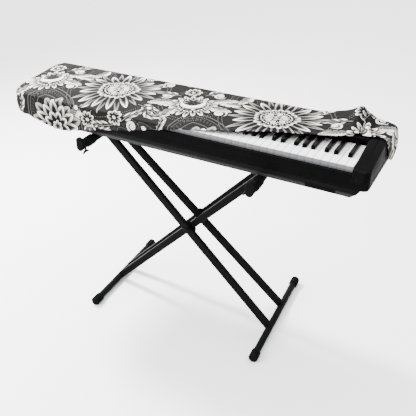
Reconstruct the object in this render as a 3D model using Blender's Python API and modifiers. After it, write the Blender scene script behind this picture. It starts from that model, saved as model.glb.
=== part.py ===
"""A stretchy fitted cover, half drawn off a plain digital piano that lies on a folding cross stand.

Metres, +Z up, +X to the player's right, +Y away from the player. The origin is on the floor under
the middle of the whole thing. The cover is one hollow sheet: it hides the left half of the piano,
its front hem climbs over the front edge and runs back across the keys, and the spare cloth stands
up as a folded ear at the back right corner.
"""

import math

import bmesh
import bpy
import numpy as np
from mathutils import Matrix, Vector

GAP = 0.0003                # the gap between two pieces that touch
MIDDLE = (-0.0002, 0.0073)  # the middle of the whole thing, in the frame of the sizes below

# The piano
CASE_X = (-0.664, 0.657)    # left and right ends of the case
CASE_Y = (-0.1475, 0.143)   # front and back
CASE_BOTTOM = 0.7226        # underside of the two ends
CASE_SPLIT = 0.7450         # where the upper and the lower half meet
PANEL_TOP = 0.8106          # top of the panel behind the keys
PANEL_FRONT = 0.0130        # where that panel starts
RAIL_TOP = 0.7711           # top of the rail in front of the keys
CORNER = 0.018              # rounding of the case's corners, seen from above
CORNER_LEFT = 0.056         # the same at the front left, under the cover
# The top of each end of the case, from front to back
RIGHT_END_TOP = (
    # y, z
    (-0.1475, 0.7836),
    (-0.0570, 0.8026),
    (0.0130, 0.8106),
    (0.1430, 0.8106),
)
LEFT_END_TOP = (
    # y, z
    (-0.1475, 0.7746),
    (-0.0870, 0.7886),
    (0.0130, 0.7986),
    (0.0630, 0.8056),
    (0.1430, 0.8086),
)
TRAY_BOTTOM = 0.6916        # underside of the tray below the case
TRAY_LEFT = 0.030           # how much further in the tray starts at the left end
# The tray tapers towards its underside
TRAY_STEPS = (
    # z, inset at the ends, inset at the front and the back
    (CASE_BOTTOM, 0.021, 0.0005),
    (0.7096, 0.029, 0.0010),
    (TRAY_BOTTOM, 0.049, 0.0085),
)

KEY_TOP = 0.7886            # top of the white keys
KEY_PITCH = 0.0235          # a white key and its gap
KEY_SLIT = 0.0010
KEY_THICK = 0.0200
KEY_FRONT = -0.1370
KEY_BACK = PANEL_FRONT - 0.0005
KEY_RIGHT = 0.6070          # right end of the keyboard
WHITE_KEYS = 45             # a 76-key keyboard, E to G
LOWEST_KEY = 2              # its lowest key, counted in white keys from the C below
KEY_LEFT = KEY_RIGHT - WHITE_KEYS * KEY_PITCH
KEY_FOOT = 0.0110           # the bar along a group's back, on which its keys rest
RAIL_BACK = KEY_FRONT - 0.0015
SHARP_FRONT = -0.0870       # front of the black keys
SHARP_HIGH = 0.0120
SHARP_WIDE = 0.0130
SHARP_TAPER = 0.88          # how wide a black key's top is beside its base
SHARP_SLOPE = 0.0040        # how far its front leans back
SHARP_STRIP = (0.0060, 0.0040)          # the strip along a group's back that joins its black keys
INSET = 0.0005              # keeps the faces of two joined shapes from coinciding
# Black keys of one octave: the white key boundary they stand on, counted from C, and their offset
SHARPS = (
    # boundary, offset
    (1, -0.0023),
    (2, 0.0026),
    (4, -0.0030),
    (5, 0.0005),
    (6, 0.0040),
)

# The cover
CLOTH = 0.0020              # thickness of the cloth
CLEAR = 0.0040              # from the case's sides to the middle of the cloth
EDGE_ROUND = 0.0060         # how tightly the cloth turns over an edge
SPINE_Y = 0.0930            # the line from which the cloth is drawn outward
SPINE_X = (-0.593, 0.560)
COVER_CORNERS = (0.060, 0.022, 0.022)   # plan rounding: front left, back left, back right
# Height of the cloth over the covered piano, from front to back
TOP_PROFILE = (
    # y, z
    (-0.1515, 0.7890),
    (-0.087, 0.8050),
    (0.005, 0.8146),
    (0.151, 0.8146),
)
# The hem along the front: below the top edge where run is positive, back from it where negative
FRONT_HEM = (
    # x, run
    (-0.663, 0.058),
    (-0.635, 0.060),
    (-0.620, 0.068),
    (-0.578, 0.080),
    (-0.502, 0.100),
    (-0.437, 0.108),
    (-0.377, 0.097),
    (-0.313, 0.081),
    (-0.242, 0.066),
    (-0.136, 0.046),
    (-0.050, 0.024),
    (0.021, 0.009),
    (0.074, -0.005),
    (0.110, -0.016),
    (0.178, -0.034),
    (0.241, -0.051),
    (0.284, -0.067),
    (0.324, -0.082),
    (0.374, -0.094),
    (0.416, -0.106),
    (0.467, -0.122),
    (0.519, -0.137),
    (0.544, -0.151),
    (0.560, -0.163),
)
# The hem from there to the right end, where it lies on top
TOP_HEM = (
    # x, y
    (0.573, 0.023),
    (0.586, 0.016),
    (0.603, 0.021),
    (0.623, 0.032),
    (0.640, 0.032),
    (0.6545, 0.022),
)
# The hem down the right end, and how far it hangs below the top edge there
RIGHT_HEM = (
    # y, run
    (0.0200, -0.003),
    (0.0205, 0.002),
    (0.0215, 0.007),
    (0.025, 0.013),
    (0.030, 0.028),
    (0.039, 0.048),
    (0.054, 0.075),
    (0.080, 0.091),
    (0.105, 0.099),
    (0.125, 0.102),
)
BACK_HEM_RUN = 0.106
LEFT_HEM_RUN = 0.082
# Where the cloth rests on the panel, how much lower it lies there, and how soon it sinks to it
REST_X = (-0.600, 0.625)
REST_Y = (0.018, 0.136)
REST_DIP = 0.0027
REST_EASE = 0.025
# The spare cloth at the back right: its height above the panel along the back edge
EAR = (
    # x, height
    (0.390, 0.000),
    (0.470, 0.013),
    (0.505, 0.023),
    (0.520, 0.030),
    (0.533, 0.040),
    (0.546, 0.043),
    (0.556, 0.036),
    (0.570, 0.026),
    (0.587, 0.016),
    (0.611, 0.010),
    (0.630, 0.006),
    (0.655, 0.002),
)
EAR_Y = (-0.010, 0.012, 0.030, 0.152)   # where it starts, is a low swell, rises, and is highest
EAR_SWELL = 0.10            # the low swell's share of the full height
END_SAG = 0.010             # how much lower the cloth lies at the front of the left end
SAG_X = (-0.653, -0.573)
SAG_Y = (-0.017, 0.103)
CORNER_BULGE = 0.0075       # how far it stands off the back right corner
BULGE_REACH = 0.110
# The ribs in which the sheet is laid out, and the rows along each
FINE_FROM = 0.450           # from here to the right the ribs are closer
RIBS, RIBS_FINE = 27, 10
RIGHT_BACK_RIBS = (0.620, 0.600, 0.580)
LEFT_RIBS = (0.102, -0.0715, 7)         # first and last y, and how many
LEFT_BACK_RIB = -0.618
ROWS_TOP, ROWS_SIDE = 8, 5  # rows of the sheet on the top and down the side
ROWS_EVEN_FROM = 0.060      # how far from an edge the hem must lie for its rows to be even
ROW_LEAST = 0.0012          # the least distance between two rows

# The stand, in its own frame: u along it, v across it, turned a little under the piano
STAND_TURN = math.radians(3.5)
STAND_AT = (0.0356, 0.0000)
FOOT_R = 0.0125
# The two foot bars, and half the length of each without its caps
FEET = (
    # side, u, half length
    ("left", -0.348, 0.190),
    ("right", 0.326, 0.206),
)
CAP_R, CAP_LONG, CAP_ROUND = 0.0167, 0.040, 0.006
CAP_FLAT = 0.001            # how much is flattened where a cap stands
FOOT_Z = CAP_R - CAP_FLAT
SLEEVE_R = 0.015
SLEEVE_Z = TRAY_BOTTOM - GAP - SLEEVE_R
# The two sleeves on which the piano lies, and where the wing screw sits, in degrees round each
SLEEVES = (
    # side, u, front v, back v, screw
    ("left", -0.350, -0.187, 0.170, 270.0),
    ("right", 0.285, -0.232, 0.170, 222.0),
)
TUBE_HIGH, TUBE_WIDE, TUBE_ROUND = 0.0265, 0.020, 0.003
SADDLE_HALF = 0.150         # half the length of what cuts a tube's end to fit a round bar
# The four braces, from a foot bar up to a sleeve; each ends beside or below the sleeve's middle
BRACES = (
    # name, foot, foot v, sleeve, top v, beside, below
    ("outer_brace_front", 1, -0.070, 0, -0.033, 0.000, 0.008),
    ("outer_brace_back", 1, 0.066, 0, 0.031, 0.000, 0.008),
    ("inner_brace_front", 0, -0.037, 1, -0.015, 0.007, 0.016),
    ("inner_brace_back", 0, 0.034, 1, 0.115, 0.007, 0.016),
)
# What is on the pivot, from front to back, between and outside the braces
PIVOT = (
    # name, radius, first v, last v
    ("pivot_bolt_head", 0.011, -0.0689, -0.0620),
    ("pivot_disc_front", 0.026, -0.0399, -0.0366),
    ("pivot_spacer", 0.009, -0.0151, 0.0375),
    ("pivot_disc_back", 0.026, 0.0595, 0.0630),
    ("pivot_nut", 0.011, 0.0870, 0.0940),
)
STOP_WIDE, STOP_HIGH, STOP_THICK = 0.025, 0.050, 0.012
STOP_BELOW = 0.017          # how far a stop reaches below the middle of its sleeve
PLUG_R, PLUG_LONG, PLUG_ROUND = 0.014, 0.012, 0.003
SCREW_BEHIND = 0.020        # how far a wing screw sits behind the stop
STEM_R, STEM_LONG = 0.0035, 0.014
WING = (0.004, 0.030, 0.011)            # thickness, span and height of a wing screw's head
WING_NECK = 0.45            # its span at the stem beside its full span


def material(name, colour, roughness, metallic=0.0):
    """A plain Principled material."""
    made = bpy.data.materials.new(name)
    made.use_nodes = True
    shader = made.node_tree.nodes["Principled BSDF"]
    shader.inputs["Base Color"].default_value = (*colour, 1.0)
    shader.inputs["Roughness"].default_value = roughness
    shader.inputs["Metallic"].default_value = metallic
    return made


def collection(name):
    made = bpy.data.collections.new(name)
    bpy.context.scene.collection.children.link(made)
    return made


def add_object(name, bm, look):
    """Puts a finished bmesh on a new object of the part."""
    bmesh.ops.recalc_face_normals(bm, faces=bm.faces)
    mesh = bpy.data.meshes.new(name)
    bm.to_mesh(mesh)
    bm.free()
    mesh.materials.append(look)
    made = bpy.data.objects.new(name, mesh)
    PART.objects.link(made)
    return made


def add_box(bm, low, high):
    """A box from one corner to the other; returns its vertices."""
    centre = [(a + b) / 2 for a, b in zip(low, high)]
    size = [b - a for a, b in zip(low, high)]
    place = Matrix.Translation(centre) @ Matrix.Diagonal((*size, 1.0))
    return bmesh.ops.create_cube(bm, size=1.0, matrix=place)["verts"]


def round_upright_edges(bm, corners):
    """Rounds the upright edges that stand at the plan points x, y, each with its own radius."""
    for x, y, radius in corners:
        edges = [
            edge for edge in bm.edges
            if all(abs(v.co.x - x) < 1e-4 and abs(v.co.y - y) < 1e-4 for v in edge.verts)
        ]
        bmesh.ops.bevel(bm, geom=edges, offset=radius, segments=4, profile=0.5, affect="EDGES")


def build_end(name, top, x_low, x_high, corners):
    """One end of the case: a block under the outline of its top, with rounded corners."""
    bm = bmesh.new()
    split = CASE_SPLIT + GAP
    outline = [(top[0][0], split), (top[-1][0], split), *reversed(top)]
    face = bm.faces.new([bm.verts.new((x_low, y, z)) for y, z in outline])
    moved = bmesh.ops.extrude_face_region(bm, geom=[face])["geom"]
    push = [item for item in moved if isinstance(item, bmesh.types.BMVert)]
    bmesh.ops.translate(bm, verts=push, vec=(x_high - x_low, 0, 0))
    round_upright_edges(bm, corners)
    add_object(name, bm, PLASTIC)


def build_case():
    """The lower case, the tray under it, the front rail, the panel behind the keys and both ends."""
    left, right = CASE_X
    front, back = CASE_Y
    split = CASE_SPLIT + GAP

    bm = bmesh.new()
    add_box(bm, (left, front, CASE_BOTTOM + GAP), (right, back, CASE_SPLIT))
    round_upright_edges(bm, (
        (left, front, CORNER_LEFT), (left, back, CORNER), (right, front, CORNER), (right, back, CORNER)))
    add_object("lower_case", bm, PLASTIC)

    bm = bmesh.new()
    add_box(bm, (KEY_LEFT + GAP, front, split), (KEY_RIGHT - GAP, RAIL_BACK, RAIL_TOP))
    add_object("front_rail", bm, PLASTIC)

    bm = bmesh.new()
    add_box(bm, (KEY_LEFT + GAP, PANEL_FRONT, split), (KEY_RIGHT - GAP, back, PANEL_TOP))
    add_object("panel", bm, PLASTIC)

    build_end("right_end", RIGHT_END_TOP, KEY_RIGHT + GAP, right,
              ((right, front, CORNER), (right, back, CORNER)))
    build_end("left_end", LEFT_END_TOP, left, KEY_LEFT - GAP,
              ((left, front, CORNER_LEFT), (left, back, CORNER)))

    bm = bmesh.new()
    rings = []
    for z, end, side in TRAY_STEPS:
        start = left + TRAY_LEFT + end
        corners = ((start, front + CORNER_LEFT), (start + CORNER_LEFT / 2, front + side),
                   (right - end, front + side), (right - end, back - side), (start, back - side))
        rings.append([bm.verts.new((x, y, z)) for x, y in corners])
    for upper, lower in zip(rings, rings[1:]):
        for here, there in zip(range(5), (1, 2, 3, 4, 0)):
            bm.faces.new((upper[here], upper[there], lower[there], lower[here]))
    bm.faces.new(rings[0])
    bm.faces.new(rings[-1])
    add_object("tray", bm, PLASTIC)


def key_x(boundary):
    """Where the boundary between two white keys lies, counted from the C below the lowest key."""
    return KEY_LEFT + (boundary - LOWEST_KEY) * KEY_PITCH


def build_keys():
    """For each octave a comb of white keys, and its black keys on one strip."""
    highest = LOWEST_KEY + WHITE_KEYS
    for octave in range(1 + (highest - 1) // 7):
        first = max(LOWEST_KEY, octave * 7)
        last = min(highest, octave * 7 + 7)
        build_white_keys(f"white_keys_{octave + 1}", first, last)
        marks = [(octave * 7 + boundary, offset) for boundary, offset in SHARPS]
        places = [key_x(mark) + offset for mark, offset in marks if first < mark < last]
        build_black_keys(f"black_keys_{octave + 1}", places)


def build_white_keys(name, first, last):
    x_low, x_high = key_x(first) + KEY_SLIT / 2, key_x(last) - KEY_SLIT / 2
    outline = [(x_low, KEY_BACK), (x_low, KEY_FRONT)]
    for key in range(first + 1, last):
        left, right = key_x(key) - KEY_SLIT / 2, key_x(key) + KEY_SLIT / 2
        outline += [(left, KEY_FRONT), (left, KEY_BACK - KEY_FOOT),
                    (right, KEY_BACK - KEY_FOOT), (right, KEY_FRONT)]
    outline += [(x_high, KEY_FRONT), (x_high, KEY_BACK)]
    bm = bmesh.new()
    face = bm.faces.new([bm.verts.new((x, y, KEY_TOP)) for x, y in outline])
    moved = bmesh.ops.extrude_face_region(bm, geom=[face])["geom"]
    push = [item for item in moved if isinstance(item, bmesh.types.BMVert)]
    bmesh.ops.translate(bm, verts=push, vec=(0, 0, -KEY_THICK))
    comb = add_object(name, bm, IVORY)

    bm = bmesh.new()
    add_box(bm, (x_low + INSET, KEY_BACK - KEY_FOOT + INSET, CASE_SPLIT + GAP),
            (x_high - INSET, KEY_BACK - INSET, KEY_TOP - KEY_THICK / 2))
    join(comb, bm)


def build_black_keys(name, places):
    base = KEY_TOP + GAP
    half = SHARP_WIDE / 2
    deep, high = SHARP_STRIP
    bm = bmesh.new()
    add_box(bm, (places[0], KEY_BACK - deep, base + INSET), (places[-1], KEY_BACK, base + high))
    strip = add_object(name, bm, EBONY)
    back = KEY_BACK - INSET
    for x in places:
        bm = bmesh.new()
        verts = add_box(bm, (x - half, SHARP_FRONT, base), (x + half, back, KEY_TOP + SHARP_HIGH))
        for vert in verts:
            if vert.co.z > base + high:
                vert.co.x = x + (vert.co.x - x) * SHARP_TAPER
                if vert.co.y < KEY_BACK - deep:
                    vert.co.y += SHARP_SLOPE
        join(strip, bm)


def join(target, bm):
    """Makes the shape in bm one body with the target by a Boolean union."""
    bmesh.ops.recalc_face_normals(bm, faces=bm.faces)
    mesh = bpy.data.meshes.new(target.name + "_added")
    bm.to_mesh(mesh)
    bm.free()
    boolean(target, helper(mesh), "UNION")


def helper(mesh):
    """A hidden object for a Boolean."""
    made = bpy.data.objects.new(mesh.name, mesh)
    made.hide_render = True
    made.display_type = "WIRE"
    CUTTERS.objects.link(made)
    return made


def boolean(target, other, operation):
    step = target.modifiers.new(operation.lower(), "BOOLEAN")
    step.operation = operation
    step.solver = "EXACT"
    step.object = other


def smooth(value):
    """Eases 0 to 1 with level ends."""
    value = min(max(value, 0.0), 1.0)
    return value * value * (3 - 2 * value)


def ramp(value, start, stop):
    """Eases from 0 at start to 1 at stop."""
    return smooth((value - start) / (stop - start))


def table(rows, at):
    """Reads a two-column table at a value of its first column, in between by straight lines."""
    first, second = zip(*rows)
    return float(np.interp(at, first, second))


def top_height(x, y):
    """Height of the cloth's middle over the piano: the profile, the sagging end and the spare cloth."""
    z = table(TOP_PROFILE, y)
    z -= END_SAG * (1 - ramp(x, *SAG_X)) * (1 - ramp(y, *SAG_Y))
    inside = (x - REST_X[0], REST_X[1] - x, y - REST_Y[0], REST_Y[1] - y)
    z -= REST_DIP * math.prod(smooth(distance / REST_EASE) for distance in inside)
    swell, rise, swelled, risen = EAR_Y
    share = EAR_SWELL + (1 - EAR_SWELL) * ramp(y, rise, risen)
    return z + table(EAR, x) * share * ramp(y, swell, swelled)


def arc(cx, cy, radius, start, stop, count):
    """Points round a plan corner, from one angle to another, with the angle of each."""
    for step in range(count + 1):
        angle = math.radians(start + (stop - start) * step / count)
        yield cx + radius * math.cos(angle), cy + radius * math.sin(angle), angle


def cover_ribs():
    """The ribs of the cover, in order round it: spine x, turn x, y, outward nx, ny, cloth beyond, even.

    A rib starts on the spine and runs straight to its turn, where the cloth starts to go over the
    edge. The cloth beyond the turn hangs down the side; where it is negative the hem lies on top,
    short of the turn. Even is 1 where the rows are spread evenly along the rib.
    """
    x0, x1 = CASE_X[0] - CLEAR, CASE_X[1] + CLEAR
    y0, y1 = CASE_Y[0] - CLEAR, CASE_Y[1] + CLEAR
    front_left, back_left, back_right = COVER_CORNERS
    facing_front, facing_left, facing_back = math.radians(270), math.radians(180), math.radians(90)
    ribs = []

    def over_edge(spine_x, x, y, facing, run):
        nx, ny = math.cos(facing), math.sin(facing)
        even = smooth(-run / ROWS_EVEN_FROM)
        ribs.append((spine_x, x - nx * EDGE_ROUND, y - ny * EDGE_ROUND, nx, ny, cloth_beyond(run), even))

    stations = [*np.linspace(SPINE_X[0], FINE_FROM, RIBS), *np.linspace(FINE_FROM, SPINE_X[1], RIBS_FINE)[1:]]
    for x in stations:
        over_edge(x, x, y0, facing_front, table(FRONT_HEM, x))
    for x, y in TOP_HEM:
        even = smooth((x1 - x) / ROWS_EVEN_FROM)
        ribs.append((SPINE_X[1], x, y, 0.0, 0.0, 0.0, even))
    for y, run in RIGHT_HEM[:-1]:
        over_edge(SPINE_X[1], x1, y, 0.0, run)
    for x, y, angle in arc(x1 - back_right, y1 - back_right, back_right, 0, 90, 4):
        over_edge(SPINE_X[1], x, y, angle, RIGHT_HEM[-1][1])
    for x in RIGHT_BACK_RIBS:
        over_edge(SPINE_X[1], x, y1, facing_back, BACK_HEM_RUN)
    for x in reversed(stations):
        over_edge(x, x, y1, facing_back, BACK_HEM_RUN)
    over_edge(SPINE_X[0], LEFT_BACK_RIB, y1, facing_back, BACK_HEM_RUN)
    for x, y, angle in arc(x0 + back_left, y1 - back_left, back_left, 90, 180, 4):
        over_edge(SPINE_X[0], x, y, angle, (BACK_HEM_RUN + LEFT_HEM_RUN) / 2)
    for y in np.linspace(*LEFT_RIBS):
        over_edge(SPINE_X[0], x0, y, facing_left, LEFT_HEM_RUN)
    for x, y, angle in arc(x0 + front_left, y0 + front_left, front_left, 180, 270, 7):
        over_edge(SPINE_X[0], x, y, angle, table(FRONT_HEM, x))
    return ribs


def cloth_beyond(run):
    """Turns a run into cloth beyond the place where the top starts to turn over the edge."""
    quarter = EDGE_ROUND * math.pi / 2
    if run <= -EDGE_ROUND:
        return run + EDGE_ROUND
    if run >= EDGE_ROUND:
        return quarter + run - EDGE_ROUND
    return quarter * (run + EDGE_ROUND) / (2 * EDGE_ROUND)


def rib_points(spine_x, turn_x, turn_y, nx, ny, beyond, even):
    """Points of one rib, from the spine out over the top, round the edge and down the side."""
    quarter = EDGE_ROUND * math.pi / 2
    across = math.hypot(turn_x - spine_x, turn_y - SPINE_Y)
    edge_z = top_height(turn_x, turn_y)
    if beyond > quarter:
        # The spare cloth that stands up at the back right leaves the hem where it is
        beyond += max(0.0, edge_z - table(TOP_PROFILE, turn_y))
    total = across + beyond

    rows = ROWS_TOP + 2 + ROWS_SIDE
    hang = max(beyond - quarter, 0.0)
    stops = [across * k / ROWS_TOP for k in range(ROWS_TOP + 1)]
    stops += [across + quarter / 2]
    stops += [across + quarter + hang * k / ROWS_SIDE for k in range(ROWS_SIDE + 1)]
    points = []
    for k, stop in enumerate(stops):
        stop = min(stop, total - (rows - k) * ROW_LEAST)
        stop = (1 - even) * stop + even * total * k / rows
        if stop <= across:
            x = spine_x + (turn_x - spine_x) * stop / across
            y = SPINE_Y + (turn_y - SPINE_Y) * stop / across
            points.append(Vector((x, y, top_height(x, y))))
            continue
        angle = min((stop - across) / EDGE_ROUND, math.pi / 2)
        down = EDGE_ROUND * (1 - math.cos(angle)) + max(stop - across - quarter, 0.0)
        out = EDGE_ROUND * math.sin(angle) + bulge(turn_x, turn_y, down)
        points.append(Vector((turn_x + nx * out, turn_y + ny * out, edge_z - down)))
    return points


def bulge(x, y, down):
    """How far the side of the cloth stands off the back right corner, most half way down."""
    near = smooth(1 - math.hypot(x - CASE_X[1], y - CASE_Y[1]) / BULGE_REACH)
    return CORNER_BULGE * near * math.sin(math.pi * min(down / BULGE_REACH, 1.0))


def build_cover():
    """The sheet: ribs of points joined round the spine, then thickened."""
    bm = bmesh.new()
    spine = {}
    columns = []
    for spine_x, *rest in cover_ribs():
        points = rib_points(spine_x, *rest)
        if spine_x not in spine:
            spine[spine_x] = bm.verts.new(points[0])
        columns.append([spine[spine_x]] + [bm.verts.new(p) for p in points[1:]])
    for here, there in zip(columns, columns[1:] + columns[:1]):
        for k in range(len(here) - 1):
            corners = [here[k], here[k + 1], there[k + 1], there[k]]
            bm.faces.new(list(dict.fromkeys(corners)))
    cover = add_object("cover", bm, FABRIC)
    if cover.data.polygons[0].normal.z < 0:
        cover.data.flip_normals()
    thick = cover.modifiers.new("thickness", "SOLIDIFY")
    thick.thickness = CLOTH
    thick.offset = 0.0
    cover.data.shade_smooth()


def stand_matrix():
    """From the stand's own frame to the part's."""
    return Matrix.Translation((*STAND_AT, 0.0)) @ Matrix.Rotation(STAND_TURN, 4, "Z")


def cylinder_mesh(radius, start, stop, segments=20, ends=0.0):
    """A cylinder from start to stop, in the stand's frame, with both rims rounded by ends."""
    start, stop = Vector(start), Vector(stop)
    axis = stop - start
    place = Matrix.Translation((start + stop) / 2) @ axis.to_track_quat("Z", "Y").to_matrix().to_4x4()
    bm = bmesh.new()
    bmesh.ops.create_cone(bm, cap_ends=True, segments=segments, radius1=radius, radius2=radius,
                          depth=axis.length)
    if ends:
        rims = [edge for edge in bm.edges if abs(edge.verts[0].co.z - edge.verts[1].co.z) < 1e-6]
        bmesh.ops.bevel(bm, geom=rims, offset=ends, segments=2, profile=0.5, affect="EDGES")
    bmesh.ops.transform(bm, matrix=stand_matrix() @ place, verts=bm.verts)
    return bm


def build_feet():
    """Two foot bars, each with a rounded rubber cap at both ends that stands flat on the floor."""
    for side, u, half in FEET:
        bm = cylinder_mesh(FOOT_R, (u, -half, FOOT_Z), (u, half, FOOT_Z))
        add_object(f"foot_bar_{side}", bm, STEEL)
        for end, sign in (("front", -1), ("back", 1)):
            inner = sign * (half + GAP)
            outer = inner + sign * CAP_LONG
            bm = cylinder_mesh(CAP_R, (u, inner, FOOT_Z), (u, outer, FOOT_Z), ends=CAP_ROUND)
            cut = bmesh.ops.bisect_plane(bm, geom=[*bm.verts, *bm.edges, *bm.faces], plane_co=(0, 0, 0),
                                         plane_no=(0, 0, -1), clear_outer=True)
            rim = [item for item in cut["geom_cut"] if isinstance(item, bmesh.types.BMEdge)]
            bmesh.ops.contextual_create(bm, geom=rim)
            add_object(f"foot_cap_{side}_{end}", bm, RUBBER)


def brace_ends(row):
    """Where the middle line of a brace starts and ends."""
    _, foot, foot_v, sleeve, top_v, beside, below = row
    start = Vector((FEET[foot][1], foot_v, FOOT_Z))
    return start, Vector((SLEEVES[sleeve][1] + beside, top_v, SLEEVE_Z - below))


def build_braces():
    """Four rectangular tubes, saddled over the foot bars below and the sleeves above."""
    for row in BRACES:
        name, foot, _, sleeve, *_ = row
        start, top = brace_ends(row)
        along = (top - start).normalized()
        across = Vector((0, 1, 0))
        across = (across - across.dot(along) * along).normalized()
        turn = Matrix((across, along.cross(across), along)).transposed().to_4x4()
        bm = bmesh.new()
        size = (TUBE_WIDE, TUBE_HIGH, (top - start).length)
        bmesh.ops.create_cube(bm, size=1.0, matrix=Matrix.Diagonal((*size, 1.0)))
        long_edges = [e for e in bm.edges if abs(e.verts[0].co.z - e.verts[1].co.z) > 0.1]
        bmesh.ops.bevel(bm, geom=long_edges, offset=TUBE_ROUND, segments=2, profile=0.5, affect="EDGES")
        place = stand_matrix() @ Matrix.Translation((start + top) / 2) @ turn
        bmesh.ops.transform(bm, matrix=place, verts=bm.verts)
        tube = add_object(name, bm, STEEL)
        for end, u, z, radius in (("foot", FEET[foot][1], FOOT_Z, FOOT_R),
                                  ("top", SLEEVES[sleeve][1], SLEEVE_Z, SLEEVE_R)):
            bm = cylinder_mesh(radius + GAP, (u, -SADDLE_HALF, z), (u, SADDLE_HALF, z))
            mesh = bpy.data.meshes.new(f"{name}_{end}_saddle")
            bm.to_mesh(mesh)
            bm.free()
            boolean(tube, helper(mesh), "DIFFERENCE")


def pivot_place():
    """Where the middle lines of the outer and the inner braces cross, as u and z."""
    right_foot, left_top = brace_ends(BRACES[0])
    left_foot, right_top = brace_ends(BRACES[2])
    outer = (left_top.z - FOOT_Z) / (right_foot.x - left_top.x)
    inner = (right_top.z - FOOT_Z) / (right_top.x - left_foot.x)
    u = (outer * right_foot.x + inner * left_foot.x) / (outer + inner)
    return u, FOOT_Z + outer * (right_foot.x - u)


def build_pivot():
    u, z = pivot_place()
    for name, radius, first, last in PIVOT:
        bm = cylinder_mesh(radius, (u, first, z), (u, last, z), segments=24)
        add_object(name, bm, STEEL)


def build_sleeves():
    """The padded sleeves under the piano, their upstanding front stops, end plugs and wing screws."""
    for side, u, front, back, around in SLEEVES:
        bm = cylinder_mesh(SLEEVE_R, (u, front, SLEEVE_Z), (u, back, SLEEVE_Z), segments=24)
        add_object(f"sleeve_{side}", bm, RUBBER)
        bm = cylinder_mesh(PLUG_R, (u, back + GAP, SLEEVE_Z), (u, back + PLUG_LONG, SLEEVE_Z),
                           segments=24, ends=PLUG_ROUND)
        add_object(f"sleeve_plug_{side}", bm, RUBBER)
        build_stop(side, u, front - GAP)
        build_wing_screw(side, u, front + SCREW_BEHIND, math.radians(around))


def build_stop(side, u, v):
    """An upright lug with round ends across the front of a sleeve."""
    outline = bpy.data.curves.new(f"stop_{side}", "CURVE")
    outline.dimensions = "2D"
    outline.fill_mode = "BOTH"
    outline.extrude = STOP_THICK / 2
    radius = STOP_WIDE / 2
    middle = STOP_HIGH / 2 - radius
    steps = 8
    points = []
    for top, start in ((1, 0.0), (-1, math.pi)):
        for step in range(steps + 1):
            angle = start + math.pi * step / steps
            points.append((radius * math.cos(angle), top * middle + radius * math.sin(angle)))
    spline = outline.splines.new("POLY")
    spline.points.add(len(points) - 1)
    for point, (a, b) in zip(spline.points, points):
        point.co = (a, b, 0.0, 1.0)
    spline.use_cyclic_u = True
    drawn = bpy.data.objects.new("stop_outline", outline)
    PART.objects.link(drawn)
    bpy.context.view_layer.update()
    mesh = bpy.data.meshes.new_from_object(drawn.evaluated_get(bpy.context.evaluated_depsgraph_get()))
    bpy.data.objects.remove(drawn)
    bm = bmesh.new()
    bm.from_mesh(mesh)
    bmesh.ops.remove_doubles(bm, verts=bm.verts, dist=1e-5)
    # The outline stands up, faces the front, and rises further above the sleeve than below it
    turn = Matrix.Rotation(math.radians(90), 4, "X")
    lift = Matrix.Translation((u, v - STOP_THICK / 2, SLEEVE_Z + STOP_HIGH / 2 - STOP_BELOW))
    bmesh.ops.transform(bm, matrix=stand_matrix() @ lift @ turn, verts=bm.verts)
    add_object(f"sleeve_stop_{side}", bm, RUBBER)


def build_wing_screw(side, u, v, around):
    """A short stem out of the sleeve with a flat two-winged head."""
    out = Vector((math.cos(around), 0.0, math.sin(around)))
    middle = Vector((u, v, SLEEVE_Z))
    root = middle + out * (SLEEVE_R + GAP)
    tip = middle + out * (SLEEVE_R + STEM_LONG)
    screw = add_object(f"wing_screw_{side}", cylinder_mesh(STEM_R, root, tip, segments=12), STEEL)
    bm = bmesh.new()
    bmesh.ops.create_cube(bm, size=1.0, matrix=Matrix.Diagonal((*WING, 1.0)))
    for vert in bm.verts:
        if vert.co.z < 0:
            vert.co.y *= WING_NECK
    bmesh.ops.bevel(bm, geom=bm.edges[:], offset=WING[0] * 0.3, segments=1, profile=0.5, affect="EDGES")
    turn = out.to_track_quat("Z", "Y").to_matrix().to_4x4()
    place = stand_matrix() @ Matrix.Translation(tip + out * 0.002) @ turn
    bmesh.ops.transform(bm, matrix=place, verts=bm.verts)
    join(screw, bm)


for old in list(bpy.data.objects):
    bpy.data.objects.remove(old)

PART = collection("piano_keyboard_cover")
CUTTERS = collection("cutters")
FABRIC = material("printed_stretch_cloth", (0.30, 0.29, 0.28), 0.85)
PLASTIC = material("black_plastic", (0.012, 0.012, 0.013), 0.45)
IVORY = material("white_key_plastic", (0.80, 0.80, 0.82), 0.25)
EBONY = material("black_key_plastic", (0.008, 0.008, 0.008), 0.30)
STEEL = material("black_painted_steel", (0.012, 0.012, 0.013), 0.40)
RUBBER = material("black_rubber", (0.010, 0.010, 0.010), 0.75)

build_case()
build_keys()
build_cover()
build_feet()
build_braces()
build_pivot()
build_sleeves()
for made in [*PART.objects, *CUTTERS.objects]:
    made.location = (-MIDDLE[0], -MIDDLE[1], 0.0)
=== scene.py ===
# %% [markdown]
# A printed stretch cover on a digital piano
# The real thing is a sleeve of thin two-way stretch cloth with an elastic hem. Here it is half drawn
# off: it still hides the left of the piano, its front hem climbs over the front edge and runs back
# across the keys, and the spare cloth is gathered at the back right corner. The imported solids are
# loaded first, because every finished piece has to lie where its solid lies.

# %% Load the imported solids
import functools
import math

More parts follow.
